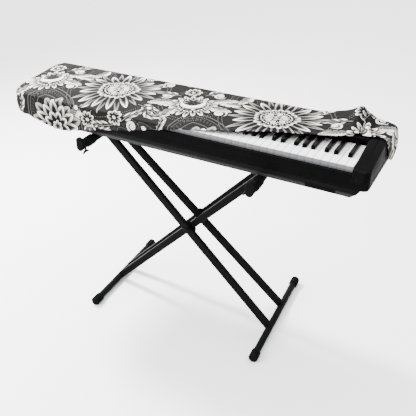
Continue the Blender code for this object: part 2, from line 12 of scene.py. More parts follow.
import bmesh
import bpy
import numpy as np
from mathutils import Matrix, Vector


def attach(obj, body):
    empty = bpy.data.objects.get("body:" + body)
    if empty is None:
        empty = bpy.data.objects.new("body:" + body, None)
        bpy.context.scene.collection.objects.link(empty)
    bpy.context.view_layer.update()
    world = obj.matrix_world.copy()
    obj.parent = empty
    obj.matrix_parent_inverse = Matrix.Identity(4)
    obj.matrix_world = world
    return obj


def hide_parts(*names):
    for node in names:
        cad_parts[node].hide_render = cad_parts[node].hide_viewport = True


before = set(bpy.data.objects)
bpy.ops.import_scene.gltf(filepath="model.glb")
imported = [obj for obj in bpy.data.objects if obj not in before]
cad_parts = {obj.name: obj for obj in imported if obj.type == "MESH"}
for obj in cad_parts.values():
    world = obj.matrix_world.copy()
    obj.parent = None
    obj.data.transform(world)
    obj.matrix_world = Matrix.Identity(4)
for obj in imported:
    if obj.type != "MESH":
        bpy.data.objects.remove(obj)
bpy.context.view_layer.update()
print("solids:", len(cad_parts))

# %% [markdown]
# The sizes below were measured in a frame whose middle is a little off the middle of the whole
# thing. PLACE carries a measured point to the part's own frame. It is used once for each piece, when
# its points are put into a mesh.

# %% Shared sizes
PLACE = np.array([0.0002, -0.0073, 0.0])
GAP = 0.0003
CASE_X = (-0.664, 0.657)
CASE_Y = (-0.1475, 0.143)
KEY_TOP = 0.7886
KEY_PITCH = 0.0235
KEY_FRONT = -0.1370
KEY_RIGHT = 0.6070
PANEL_TOP = 0.8106
TRAY_BOTTOM = 0.6916
print("case:", round(CASE_X[1] - CASE_X[0], 4), "long,", round(CASE_Y[1] - CASE_Y[0], 4), "deep")

# %% [markdown]
# The view
# A photograph fixes where the camera stood once a few real sizes in it are known. White keys are
# 23.5 mm apart on nearly every keyboard, and that is enough here: the camera stands to the right of
# the keys, turned 28.7 degrees to the left and tipped 31.5 degrees down, with a slightly long lens.

# %% Camera
def add_object(name, data):
    """Puts a mesh, a lamp or a camera into the scene, and returns its object."""
    made = bpy.data.objects.new(name, data)
    bpy.context.scene.collection.objects.link(made)
    return made


CAMERA_AT = (0.9297, -1.5611, 1.5169)
CAMERA_TURN = math.radians(28.69)
CAMERA_TIP = math.radians(31.51)
LENS_MM, SENSOR_MM = 49.68, 36.0

camera_data = bpy.data.cameras.new("camera")
camera_data.lens = LENS_MM
camera_data.sensor_width = SENSOR_MM
camera = add_object("camera", camera_data)
camera.location = Vector(CAMERA_AT) + Vector(PLACE)
camera.rotation_euler = (math.pi / 2 - CAMERA_TIP, 0.0, CAMERA_TURN)
bpy.context.scene.camera = camera
print("camera at", tuple(round(value, 3) for value in camera.location))

# %% [markdown]
# Grids
# Nearly every piece here is a grid of points: the rows run one way over the surface, the columns
# another. One helper turns such an array into a mesh, joins its ends where the surface closes on
# itself, and can close the first and last rows with a flat cap.

# %% Turn a grid of points into a piece
def read_all(items, name, kind=np.float32, size=1):
    """One property of all items of a mesh, as an array."""
    values = np.empty(len(items) * size, dtype=kind)
    items.foreach_get(name, values)
    return values.reshape(-1, size) if size > 1 else values


def piece_from_grid(name, grid, wrap_rows=False, wrap_columns=False, caps=False, maps=()):
    """A mesh from an array rows x columns x 3, or from several such arrays of one size.

    Neighbours in the grid share a face. Wrapping joins the last row or column to the first, and caps
    close the first and the last row. Each of the maps is a name and an array rows x columns x 2.
    """
    grids = grid[None] if grid.ndim == 3 else grid
    index = np.arange(grids[..., 0].size).reshape(grids.shape[:3])
    first, last = index[:, 0, ::-1], index[:, -1]
    if wrap_rows:
        index = np.concatenate([index, index[:, :1]], axis=1)
    if wrap_columns:
        index = np.concatenate([index, index[:, :, :1]], axis=2)
    here, there = index[:, :-1], index[:, 1:]
    corners = np.stack([here[..., :-1], here[..., 1:], there[..., 1:], there[..., :-1]], axis=-1)
    faces = corners.reshape(-1, 4).tolist()
    if caps:
        faces += first.tolist() + last.tolist()
    mesh = bpy.data.meshes.new(name)
    mesh.from_pydata((grids.reshape(-1, 3) + PLACE).tolist(), [], faces)
    for label, flat in maps:
        corner = read_all(mesh.loops, "vertex_index", np.int32)
        layer = mesh.uv_layers.new(name=label)
        layer.data.foreach_set("uv", flat.reshape(-1, 2)[corner].ravel().astype(np.float32))
    return add_object(name, mesh)


# %% Mark the rounded edges
FULL_BEND = math.radians(20)
NARROW, NARROW_EASE = 0.0015, 0.0015


def mark_edges(mesh):
    """Stores at each face corner how much the surface bends there, from 0 to 1, as the attribute edge.

    The sum of two neighbours' normals is 2 cos(bend / 2) long. Only narrow faces count, so the mark
    stays on the rounding and off the flat faces beside it.
    """
    line = read_all(mesh.loops, "edge_index", np.int32)
    ends = read_all(mesh.edges, "vertices", np.int32, 2)
    place = read_all(mesh.vertices, "co", size=3)
    faces = len(mesh.polygons)
    face = np.repeat(np.arange(faces), read_all(mesh.polygons, "loop_total", np.int32))
    both = np.zeros((len(mesh.edges), 3))
    np.add.at(both, line, read_all(mesh.polygons, "normal", size=3)[face])
    bend = 2 * np.arccos(np.clip(np.linalg.norm(both, axis=1) / 2, 0.0, 1.0))
    at_vertex = np.zeros(len(mesh.vertices))
    np.maximum.at(at_vertex, ends, bend[:, None])
    long = np.linalg.norm(place[ends[:, 0]] - place[ends[:, 1]], axis=1)
    around = np.maximum(np.bincount(face, long[line], faces), 1e-6)
    width = 2 * read_all(mesh.polygons, "area") / around
    narrow = np.clip((NARROW + NARROW_EASE - width) / NARROW_EASE, 0.0, 1.0)
    corner = read_all(mesh.loops, "vertex_index", np.int32)
    mark = np.clip(at_vertex[corner] / FULL_BEND, 0.0, 1.0) * narrow[face]
    mesh.attributes.new("edge", "FLOAT", "CORNER").data.foreach_set("value", mark.astype(np.float32))


def finish_piece(piece, nodes=(), smooth=True):
    """Marks a piece's edges, shades it smooth, hangs it under the root, and hides the solids it replaces.
    """
    mark_edges(piece.data)
    if smooth:
        piece.data.shade_smooth()
    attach(piece, "root")
    if nodes:
        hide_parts(*nodes)
    return piece


# %% [markdown]
# Curves through tables
# The hem and the cloth's height were read off at a few dozen places. Straight lines between them
# would leave a crease at each, so a cubic is run through the rows instead. Its slope at a row is a
# weighted mean of the slopes on both sides.

# %% Run a smooth curve through a table
def curve_through(rows, at):
    """Cubic Hermite curve through rows of (where, value), for a whole array of places at once."""
    where, value = np.array(rows, dtype=float).T
    slope = np.gradient(value, where)
    at = np.clip(at, where[0], where[-1])
    left = np.clip(np.searchsorted(where, at) - 1, 0, len(where) - 2)
    step = where[left + 1] - where[left]
    part = (at - where[left]) / step
    blend = part * part * (3 - 2 * part)
    bend = part * (1 - part)
    rise = slope[left] * step * (1 - part) - slope[left + 1] * step * part
    return value[left] * (1 - blend) + value[left + 1] * blend + bend * rise


def ramp(value, start, stop):
    """Eases from 0 at start to 1 at stop."""
    part = np.clip((value - start) / (stop - start), 0.0, 1.0)
    return part * part * (3 - 2 * part)


# %% [markdown]
# The cover's shape
# Stretch cloth takes the shortest way over what it covers, so its surface can be laid out in ribs:
# each starts on a line along the back half of the top, runs straight to the edge, turns over it with
# a small radius and hangs down the side. How far each rib goes gives the hem. Where it is short the
# hem lies on top, and the keys show.

# %% Tables of the cover
CLOTH = 0.0016
CLEAR = 0.0040
EDGE_ROUND = 0.0060
SPINE_Y = 0.0930
SPINE_X = (-0.593, 0.560)
COVER_CORNERS = (0.060, 0.022, 0.022)
TOP_PROFILE = (
    # y, z
    (-0.1515, 0.7890),
    (-0.087, 0.8050),
    (0.005, 0.8146),
    (0.060, 0.8146),
    (0.151, 0.8146),
)
FRONT_HEM = (
    # x, run
    (-0.680, 0.058),
    (-0.635, 0.060),
    (-0.620, 0.068),
    (-0.578, 0.080),
    (-0.502, 0.100),
    (-0.437, 0.108),
    (-0.377, 0.097),
    (-0.313, 0.081),
    (-0.242, 0.066),
    (-0.136, 0.046),
    (-0.050, 0.024),
    (0.021, 0.009),
    (0.074, -0.005),
    (0.110, -0.016),
    (0.178, -0.034),
    (0.241, -0.051),
    (0.284, -0.067),
    (0.324, -0.082),
    (0.374, -0.094),
    (0.416, -0.106),
    (0.467, -0.122),
    (0.519, -0.137),
    (0.544, -0.151),
    (0.560, -0.163),
)
TOP_HEM = (
    # x, y
    (0.573, 0.023),
    (0.586, 0.016),
    (0.603, 0.021),
    (0.623, 0.032),
    (0.640, 0.032),
    (0.6545, 0.022),
)
RIGHT_HEM = (
    # y, run
    (0.0200, -0.003),
    (0.0205, 0.002),
    (0.0215, 0.007),
    (0.025, 0.013),
    (0.030, 0.028),
    (0.039, 0.048),
    (0.054, 0.075),
    (0.080, 0.091),
    (0.105, 0.099),
    (0.125, 0.102),
)
BACK_HEM_RUN = 0.106
LEFT_HEM_RUN = 0.082
REST_X = (-0.600, 0.625)
REST_Y = (0.018, 0.136)
REST_DIP = 0.0027
REST_EASE = 0.025
EAR = (
    # x, height
    (0.390, 0.000),
    (0.430, 0.004),
    (0.470, 0.013),
    (0.505, 0.023),
    (0.520, 0.030),
    (0.533, 0.040),
    (0.546, 0.043),
    (0.556, 0.036),
    (0.570, 0.026),
    (0.587, 0.016),
    (0.611, 0.010),
    (0.630, 0.006),
    (0.655, 0.002),
)
EAR_Y = (-0.010, 0.012, 0.030, 0.152)
EAR_SWELL = 0.10
END_SAG = 0.010
SAG_X = (-0.653, -0.573)
SAG_Y = (-0.017, 0.103)
CORNER_BULGE = 0.0075
BULGE_REACH = 0.110
print("hem read at", len(FRONT_HEM) + len(TOP_HEM) + len(RIGHT_HEM), "places")

# %% [markdown]
# Small folds
# Cloth that has been pushed together keeps shallow folds. Each is a line with a width and a height:
# the cloth rises by the height on the line and eases off on both sides. A negative height is a
# valley. Most of them fan out from the gathered corner, as pulls do.

# %% Folds on the top
FOLDS = (
    # from x, y, to x, y, width, height
    (0.548, 0.140, 0.380, 0.020, 0.012, 0.0016),
    (0.540, 0.140, 0.300, 0.075, 0.012, 0.0014),
    (0.552, 0.140, 0.480, 0.000, 0.009, 0.0020),
    (0.556, 0.140, 0.540, 0.010, 0.007, 0.0022),
    (0.560, 0.145, 0.577, 0.020, 0.006, -0.0060),
    (0.574, 0.145, 0.594, 0.020, 0.007, 0.0044),
    (0.590, 0.145, 0.612, 0.030, 0.006, -0.0016),
    (0.604, 0.145, 0.640, 0.050, 0.008, 0.0024),
    (0.628, 0.145, 0.655, 0.090, 0.006, 0.0016),
    (-0.560, 0.060, -0.640, -0.060, 0.016, 0.0012),
    (-0.420, 0.120, -0.520, -0.100, 0.020, 0.0010),
    (-0.100, 0.110, -0.260, -0.120, 0.024, 0.0009),
    (0.250, 0.100, 0.120, -0.060, 0.020, 0.0011),
)
# shares of a fold's length over which it rises and falls, and the share of its height at its ends
FOLD_RISES, FOLD_FALLS = (-0.001, 0.15), (0.70, 1.001)
FOLD_LEAST = 0.15
print("folds:", len(FOLDS))


def fold_height(x, y):
    """The sum of all folds: height times a bell curve of the distance to each fold's line."""
    lines = np.array(FOLDS)
    start, stop = lines[:, 0:2], lines[:, 2:4]
    along = stop - start
    from_start = np.stack([x, y], axis=-1)[..., None, :] - start
    part = np.clip((from_start * along).sum(-1) / (along * along).sum(-1), 0.0, 1.0)
    away = np.linalg.norm(from_start - part[..., None] * along, axis=-1)
    bell = np.exp(-(away / lines[:, 4]) ** 2)
    ease = ramp(part, *FOLD_RISES) * (1 - ramp(part, *FOLD_FALLS))
    return (lines[:, 5] * bell * (FOLD_LEAST + (1 - FOLD_LEAST) * ease)).sum(-1)


def top_height(x, y):
    """Height of the cloth's middle: the profile, the low left end, the rest on the panel, the ear."""
    z = curve_through(TOP_PROFILE, y)
    z = z - END_SAG * (1 - ramp(x, *SAG_X)) * (1 - ramp(y, *SAG_Y))
    inside = np.stack([x - REST_X[0], REST_X[1] - x, y - REST_Y[0], REST_Y[1] - y])
    z = z - REST_DIP * np.prod(ramp(inside, 0.0, REST_EASE), axis=0)
    swell, rise, swelled, risen = EAR_Y
    share = EAR_SWELL + (1 - EAR_SWELL) * ramp(y, rise, risen)
    return z + curve_through(EAR, x) * share * ramp(y, swell, swelled) + fold_height(x, y)


# %% [markdown]
# Ribs round the cover
# The table of ribs is made in the order in which they stand round the cover. Round both ends it is
# read again at even steps along the edge. The hem is a closed line, so the last rib meets the first.

# %% Lay out the ribs
RIB_STEP = 0.0052
ROWS_TOP, ROWS_EDGE, ROWS_SIDE = 26, 5, 17
ROW_LEAST = 0.0004
ROWS_EVEN_FROM = 0.060
QUARTER = EDGE_ROUND * math.pi / 2
STEPS_OUT = 0.02
LEAST_STEP = 1e-5
CORNER_RIBS, LARGE_CORNER_RIBS = 13, 25
# first place, last place, how many
BACK_RIGHT_RIBS = (0.630, 0.575, 8)
BACK_LEFT_RIBS = (-0.600, -0.640, 6)
LEFT_RIBS = (0.102, -0.0715, 12)


def beyond_turn(run):
    """Cloth beyond the place where the top starts to turn over the edge, for a hem run."""
    bent = QUARTER * (run + EDGE_ROUND) / (2 * EDGE_ROUND)
    return np.where(run <= -EDGE_ROUND, run + EDGE_ROUND,
                    np.where(run >= EDGE_ROUND, QUARTER + run - EDGE_ROUND, bent))


def ribs_over_edge(spine_x, x, y, facing, run):
    """Ribs that reach the edge at x, y, as columns: spine, turn, outward, beyond, even."""
    spine_x, x, y, facing, run = np.broadcast_arrays(spine_x, x, y, facing, run)
    nx, ny = np.cos(facing), np.sin(facing)
    turn_x, turn_y = x - nx * EDGE_ROUND, y - ny * EDGE_ROUND
    even = ramp(-run, 0.0, ROWS_EVEN_FROM)
    return np.column_stack([spine_x, turn_x, turn_y, nx, ny, beyond_turn(run), even])


def arc(cx, cy, radius, start, stop, count):
    """Points round a corner, with the angle of each."""
    angle = np.radians(np.linspace(start, stop, count))
    return cx + radius * np.cos(angle), cy + radius * np.sin(angle), angle


def spread_evenly(table):
    """Reads a table of ribs again at even steps along the edge, without its first and last row."""
    travel = np.hypot(*np.diff(table[:, 1:3] + table[:, 3:5] * STEPS_OUT, axis=0).T)
    travel = np.concatenate([[0.0], np.cumsum(np.maximum(travel, LEAST_STEP))])
    steps = np.linspace(0.0, travel[-1], int(travel[-1] / RIB_STEP))[1:-1]
    return np.column_stack([np.interp(steps, travel, column) for column in table.T])


# %% Stand the ribs round the cover
x0, x1 = CASE_X[0] - CLEAR, CASE_X[1] + CLEAR
y0, y1 = CASE_Y[0] - CLEAR, CASE_Y[1] + CLEAR
front_left, back_left, back_right = COVER_CORNERS
facing_front, facing_left, facing_back = math.radians(270), math.radians(180), math.radians(90)
stations = np.linspace(*SPINE_X, int((SPINE_X[1] - SPINE_X[0]) / RIB_STEP))
front_ribs = ribs_over_edge(stations, stations, y0, facing_front, curve_through(FRONT_HEM, stations))
back_ribs = ribs_over_edge(stations, stations, y1, facing_back, BACK_HEM_RUN)[::-1]

top_hem, right_hem = np.array(TOP_HEM), np.array(RIGHT_HEM)
on_top = np.column_stack([np.full(len(top_hem), SPINE_X[1]), top_hem, np.zeros((len(top_hem), 3)),
                          ramp(x1 - top_hem[:, 0], 0.0, ROWS_EVEN_FROM)])
corner_x, corner_y, corner_turn = arc(x1 - back_right, y1 - back_right, back_right, 0, 90, CORNER_RIBS)
right_ribs = spread_evenly(np.vstack([
    front_ribs[-1:],
    on_top,
    ribs_over_edge(SPINE_X[1], x1, right_hem[:-1, 0], 0.0, right_hem[:-1, 1]),
    ribs_over_edge(SPINE_X[1], corner_x, corner_y, corner_turn, right_hem[-1, 1]),
    ribs_over_edge(SPINE_X[1], np.linspace(*BACK_RIGHT_RIBS), y1, facing_back, BACK_HEM_RUN),
    back_ribs[:1],
]))

far_x, far_y, far_turn = arc(x0 + back_left, y1 - back_left, back_left, 90, 180, CORNER_RIBS)
near_x, near_y, near_turn = arc(x0 + front_left, y0 + front_left, front_left, 180, 270, LARGE_CORNER_RIBS)
left_ribs = spread_evenly(np.vstack([
    back_ribs[-1:],
    ribs_over_edge(SPINE_X[0], np.linspace(*BACK_LEFT_RIBS), y1, facing_back, BACK_HEM_RUN),
    ribs_over_edge(SPINE_X[0], far_x, far_y, far_turn, (BACK_HEM_RUN + LEFT_HEM_RUN) / 2),
    ribs_over_edge(SPINE_X[0], x0, np.linspace(*LEFT_RIBS), facing_left, LEFT_HEM_RUN),
    ribs_over_edge(SPINE_X[0], near_x, near_y, near_turn, curve_through(FRONT_HEM, near_x)),
    front_ribs[:1],
]))
ribs = np.vstack([front_ribs, right_ribs, back_ribs, left_ribs])
rib_count = len(ribs)
print("ribs:", rib_count)

# %% [markdown]
# The elastic at the hem draws it in a little and leaves small puckers. Averaging the hem over its
# neighbours takes out the corners that the table leaves, and three small waves are laid on it.

# %% Ease the hem
EASE_RIBS = 7
PUCKERS = (
    # waves round the hem, height
    (61, 0.0009),
    (97, 0.0007),
    (143, 0.0004),
)
spread = np.arange(-EASE_RIBS, EASE_RIBS + 1)
around = (np.arange(rib_count)[:, None] + spread) % rib_count
weight = np.cos(spread / (EASE_RIBS + 1) * math.pi / 2)
beyond = (ribs[around, 5] * weight).sum(1) / weight.sum()
turn_of_hem = 2 * math.pi * np.arange(rib_count) / rib_count
pucker = sum(height * np.sin(waves * turn_of_hem + waves) for waves, height in PUCKERS)
print("hem eased by up to", round(np.abs(beyond + pucker - ribs[:, 5]).max(), 4))
ribs[:, 5] = beyond + pucker


# %% Work out every point of the sheet
RIPPLES = (
    # radians a metre over x, radians a metre over y, start, height
    (47.0, 0.0, 1.3, 0.0010),
    (83.0, 60.0, 0.0, 0.0008),
)
STANDS_OFF = 0.0012
HANGS_FREE = (0.004, 0.040)
PULLED_IN, PULLED_FROM, PULLED_TO = 0.6, 0.020, 0.002


def sheet_points(ribs):
    """Points of the sheet, ribs x rows, its cloth coordinates, and its distances to the hem.

    A row is a distance along its rib. Up to the turn it lies on top. Then it goes round a quarter
    circle, and hangs straight down after it. The cloth coordinates go on in the rib's direction.
    """
    spine_x, turn_x, turn_y, nx, ny, beyond, even = ribs.T[:, :, None]
    across = np.hypot(turn_x - spine_x, turn_y - SPINE_Y)
    edge_z = top_height(turn_x, turn_y)
    spare = np.maximum(0.0, edge_z - curve_through(TOP_PROFILE, turn_y))
    beyond = beyond + np.where(beyond > QUARTER, spare, 0.0)
    total = across + beyond
    hang = np.maximum(beyond - QUARTER, 0.0)

    rows = ROWS_TOP + ROWS_EDGE + ROWS_SIDE
    row = np.arange(rows + 1)
    top_part = np.clip(row / ROWS_TOP, 0.0, 1.0)
    edge_part = np.clip((row - ROWS_TOP) / ROWS_EDGE, 0.0, 1.0)
    side_part = np.clip((row - ROWS_TOP - ROWS_EDGE) / ROWS_SIDE, 0.0, 1.0)
    stop = across * top_part + QUARTER * edge_part + hang * side_part
    stop = np.minimum(stop, total - (rows - row) * ROW_LEAST)
    stop = (1 - even) * stop + even * total * row / rows

    on_top = np.minimum(stop, across)
    past = np.maximum(stop - across, 0.0)
    x = spine_x + (turn_x - spine_x) * on_top / across
    y = SPINE_Y + (turn_y - SPINE_Y) * on_top / across
    bend = np.minimum(past / EDGE_ROUND, math.pi / 2)
    down = EDGE_ROUND * (1 - np.cos(bend)) + np.maximum(past - QUARTER, 0.0)
    out = EDGE_ROUND * np.sin(bend) + stand_off(turn_x, turn_y, down, hang)
    z = np.where(past > 0, edge_z, top_height(x, y)) - down
    points = np.stack([x + nx * out, y + ny * out, z], axis=-1)
    cloth = np.stack([x + nx * past, y + ny * past], axis=-1)
    hem = points[:, -1]
    steps = np.linalg.norm(np.diff(hem, axis=0, prepend=hem[:1]), axis=1)
    from_hem = np.stack([np.cumsum(steps)[:, None] + 0 * stop, total - stop], axis=-1)
    return points, cloth, from_hem


def stand_off(x, y, down, hang):
    """How far the hanging cloth stands off: a bulge at the back right corner, and ripples.

    The elastic pulls the last two centimetres back in.
    """
    near = ramp(1 - np.hypot(x - CASE_X[1], y - CASE_Y[1]) / BULGE_REACH, 0.0, 1.0)
    bulge = CORNER_BULGE * near * np.sin(math.pi * np.minimum(down / BULGE_REACH, 1.0))
    ripple = sum(height * np.sin(x * over_x + y * over_y + start)
                 for over_x, over_y, start, height in RIPPLES)
    free = ramp(down, *HANGS_FREE) * (1 - PULLED_IN * ramp(down, hang - PULLED_FROM, hang + PULLED_TO))
    return bulge + (STANDS_OFF + ripple) * free


points, cloth, from_hem = sheet_points(ribs)
print("sheet:", points.shape, "hem:", round(from_hem[-1, 0, 0], 2), "m")

# %% [markdown]
# The gathered corner
# Where the cloth is pinched into the ear, a strip of it disappears into the pleat, and the print
# jumps from one side to the other. Moving the cloth coordinates past the pleat does the same.

# %% Take up cloth in the pleat
PLEAT_FROM, PLEAT_TO = np.array([0.577, 0.020]), np.array([0.560, 0.147])
PLEAT_TAKES, PLEAT_HALF = 0.046, 0.002
SAME_PLACE = 1e-5
down_pleat = PLEAT_TO - PLEAT_FROM
pleat_x = PLEAT_FROM[0] + (cloth[..., 1] - PLEAT_FROM[1]) * down_pleat[0] / down_pleat[1]
cloth[..., 0] += PLEAT_TAKES * ramp(cloth[..., 0] - pleat_x, -PLEAT_HALF, PLEAT_HALF)

cover = piece_from_grid("cover_cloth", points, wrap_rows=True, maps=(("cloth", cloth), ("hem", from_hem)))
sheet = bmesh.new()
sheet.from_mesh(cover.data)
bmesh.ops.remove_doubles(sheet, verts=sheet.verts, dist=SAME_PLACE)
sheet.to_mesh(cover.data)
sheet.free()
print("cover faces:", len(cover.data.polygons))

# %% [markdown]
# Rounded blocks
# Moulded plastic has no sharp edge. Each block of the piano is a stack of rings: one ring is the
# block's outline seen from above, with rounded corners, and it is drawn in a little where the block's
# edge is rounded over. Points are spread along the straight sides too, so that a sloping top can
# follow its profile.

# %% Rings and blocks
LEAST_RADIUS = 0.0002


def plan_ring(low, high, radii, inset=0.0, round_points=6, side_points=2):
    """Points round a rectangle with four rounded corners, anticlockwise from the front left.

    A corner is a quarter circle about a centre that lies its radius inside both sides.
    """
    low, high = np.array(low) + inset, np.array(high) - inset
    radius = np.maximum(np.broadcast_to(radii, 4) - inset, LEAST_RADIUS)
    corner = np.array([(low[0], low[1]), (high[0], low[1]), (high[0], high[1]), (low[0], high[1])])
    inward = np.array([(1, 1), (-1, 1), (-1, -1), (1, -1)])
    centre = corner + inward * radius[:, None]
    angle = np.radians(np.array([180, 270, 0, 90])[:, None] + np.linspace(0, 90, round_points))
    curve = centre[:, None] + radius[:, None, None] * np.stack([np.cos(angle), np.sin(angle)], axis=-1)
    part = (np.arange(side_points) + 1)[:, None] / (side_points + 1)
    side = curve[:, -1:] * (1 - part) + np.roll(curve, -1, axis=0)[:, :1] * part
    return np.concatenate([curve, side], axis=1).reshape(-1, 2)


def roundover(radius, count=5):
    """Steps over a rounded edge, as rows of inset and depth below the top: a quarter circle."""
    angle = np.linspace(0, math.pi / 2, count)
    return np.column_stack([radius * (1 - np.cos(angle)), radius * (1 - np.sin(angle))])


def block(low, high, bottom, top, radii, edge=0.0015, foot=0.0004, dome=(), **rings):
    """Rings of a block from its underside to its top: rounded over by foot below and by edge above.

    Bottom and top are heights, or tables of height over y. Dome adds rings that go on inward over
    the top, so that it follows its table.
    """
    def height(table, y):
        if isinstance(table, tuple):
            return np.interp(y, *np.array(table, dtype=float).T)
        return np.full_like(y, table)

    levels = [(inset, depth, False) for inset, depth in roundover(foot)[::-1]]
    levels += [(inset, depth, True) for inset, depth in roundover(edge)]
    levels += [(inset, 0.0, True) for inset in dome]
    grid = []
    for inset, depth, upper in levels:
        ring = plan_ring(low, high, radii, inset, **rings)
        z = height(top, ring[:, 1]) - depth if upper else height(bottom, ring[:, 1]) + depth
        grid.append(np.column_stack([ring, z]))
    return np.array(grid)


# %% [markdown]
# The case
# The body of the piano: a lower shell with the tray under it, a rail in front of the keys, an end
# block on each side whose top slopes down to the front, and the panel behind the keys.

# %% Build the case
SPLIT = 0.7450
CASE_BOTTOM = 0.7226
RAIL_TOP, RAIL_BACK = 0.7711, -0.1385
PANEL_FRONT = 0.0130
KEYS = 45
KEY_LEFT = KEY_RIGHT - KEYS * KEY_PITCH
CORNER, CORNER_LEFT = 0.018, 0.056
SMALL_CORNER, PANEL_CORNER = 0.0016, 0.0030
RIGHT_END_TOP = (
    # y, z
    (-0.1475, 0.7836),
    (-0.1100, 0.7920),
    (-0.0570, 0.8026),
    (0.0130, 0.8106),
    (0.1430, 0.8106),
)
LEFT_END_TOP = (
    # y, z
    (-0.1475, 0.7746),
    (-0.0870, 0.7886),
    (0.0130, 0.7986),
    (0.0630, 0.8056),
    (0.1430, 0.8086),
)
SEAM_EDGE, PANEL_EDGE, END_EDGE, CASE_FOOT = 0.0003, 0.0028, 0.0035, 0.0025
END_DOME = np.linspace(0.006, 0.024, 4)
ends_alike = {"edge": END_EDGE, "foot": SEAM_EDGE, "dome": END_DOME, "round_points": 10, "side_points": 14}

upper = SPLIT + GAP
front, back = CASE_Y
left, right = CASE_X
case_pieces = {
    "lower_case": block((left, front), (right, back), CASE_BOTTOM + GAP, SPLIT,
                        (CORNER_LEFT, CORNER, CORNER, CORNER), SEAM_EDGE, CASE_FOOT, round_points=10),
    "front_rail": block((KEY_LEFT + GAP, front), (KEY_RIGHT - GAP, RAIL_BACK), upper, RAIL_TOP,
                        SMALL_CORNER),
    "panel": block((KEY_LEFT + GAP, PANEL_FRONT), (KEY_RIGHT - GAP, back), upper, PANEL_TOP,
                   PANEL_CORNER, PANEL_EDGE),
    "right_end": block((KEY_RIGHT + GAP, front), (right, back), upper, RIGHT_END_TOP,
                       (SMALL_CORNER, CORNER, CORNER, SMALL_CORNER), **ends_alike),
    "left_end": block((left, front), (KEY_LEFT - GAP, back), upper, LEFT_END_TOP,
                      (CORNER_LEFT, SMALL_CORNER, SMALL_CORNER, CORNER), **ends_alike),
}
case = [finish_piece(piece_from_grid(name + "_moulded", grid, wrap_columns=True, caps=True),
                     (name,))
        for name, grid in case_pieces.items()]
print("case pieces:", len(case))

# %% [markdown]
# The tray
# Under the case hangs a shallow tray that narrows towards the floor, with a cut corner at the front
# left. A plate lies on its sloping front near the right end, and leaves a narrow strip of it below.

# %% Build the tray
TRAY_LEFT = 0.030
TRAY_STEPS = (
    # z, inset at the ends, inset at the front and the back
    (0.7226, 0.021, 0.0005),
    (0.7218, 0.021, 0.0005),
    (0.7100, 0.029, 0.0010),
    (0.7092, 0.0295, 0.0014),
    (0.6926, 0.0482, 0.0081),
    (0.6918, 0.0492, 0.0090),
    (0.6916, 0.0502, 0.0100),
)
z, end, side = np.array(TRAY_STEPS).T
start = left + TRAY_LEFT + end
near, far = front + side, back - side
tray_x = np.column_stack([start, start + CORNER_LEFT / 2, right - end, right - end, start])
tray_y = np.column_stack([front + CORNER_LEFT + 0 * side, near, near, far, far])
tray_grid = np.stack([tray_x, tray_y, np.repeat(z[:, None], 5, axis=1)], axis=-1)[::-1]
tray = piece_from_grid("tray_moulded", tray_grid, wrap_columns=True, caps=True)
finish_piece(tray, ("tray",), smooth=False)

PLATE_X = (0.476, 0.566)
PLATE_THICK, PLATE_EDGE = 0.0014, 0.0004
PLATE_SPAN = (0.06, 0.76)
slope_z, slope_y = z[[3, 4]], front + side[[3, 4]]
down_slope = np.array([slope_y[1] - slope_y[0], slope_z[1] - slope_z[0]])
slope_long = np.linalg.norm(down_slope)
off_slope = np.array([down_slope[1], -down_slope[0]]) / slope_long
plate_rings = []
for inset, lift in ((0.0, GAP), (0.0, GAP + PLATE_THICK - PLATE_EDGE), (PLATE_EDGE, GAP + PLATE_THICK)):
    share = np.array(PLATE_SPAN)[[0, 1, 1, 0]] + np.array([1, -1, -1, 1]) * inset / slope_long
    plate_yz = np.array([slope_y[0], slope_z[0]]) + share[:, None] * down_slope + lift * off_slope
    plate_x = np.array(PLATE_X)[[0, 0, 1, 1]] + np.array([1, 1, -1, -1]) * inset
    plate_rings.append(np.column_stack([plate_x, plate_yz]))
plate = piece_from_grid("tray_plate", np.array(plate_rings), wrap_columns=True, caps=True)
case.append(finish_piece(plate, smooth=False))
print("tray faces:", len(tray.data.polygons), "plate faces:", len(plate.data.polygons))

# %% [markdown]
# The keys
# White keys are long boxes with a soft front edge. Black keys stand on the joints between them, in
# twos and threes, and are narrower at the top. One key is worked out once, and the others are the
# same array moved along, so all 45 are one mesh.

# %% White keys
KEY_SLIT = 0.0009
KEY_BACK = PANEL_FRONT - 0.0005
KEY_THICK = 0.0200
KEY_EDGE, KEY_CORNER = 0.0011, 0.0009
OCTAVES, KEYS_IN_OCTAVE = 7, 7


def row_of_keys(slot, one, at):
    """One key copied to each x in at, as one piece that stands for the solids of all octaves."""
    grid = one + np.stack([at, 0 * at, 0 * at], axis=-1)[:, None, None]
    piece = piece_from_grid(slot + "_moulded", grid, wrap_columns=True, caps=True)
    return finish_piece(piece, [f"{slot}_{octave}" for octave in range(1, OCTAVES + 1)])


one_key = block((KEY_SLIT / 2, KEY_FRONT), (KEY_PITCH - KEY_SLIT / 2, KEY_BACK), KEY_TOP - KEY_THICK,
                KEY_TOP, KEY_CORNER, KEY_EDGE, KEY_EDGE, round_points=4, side_points=0)
white_keys = row_of_keys("white_keys", one_key, KEY_LEFT + KEY_PITCH * np.arange(KEYS))
print("white keys:", KEYS)

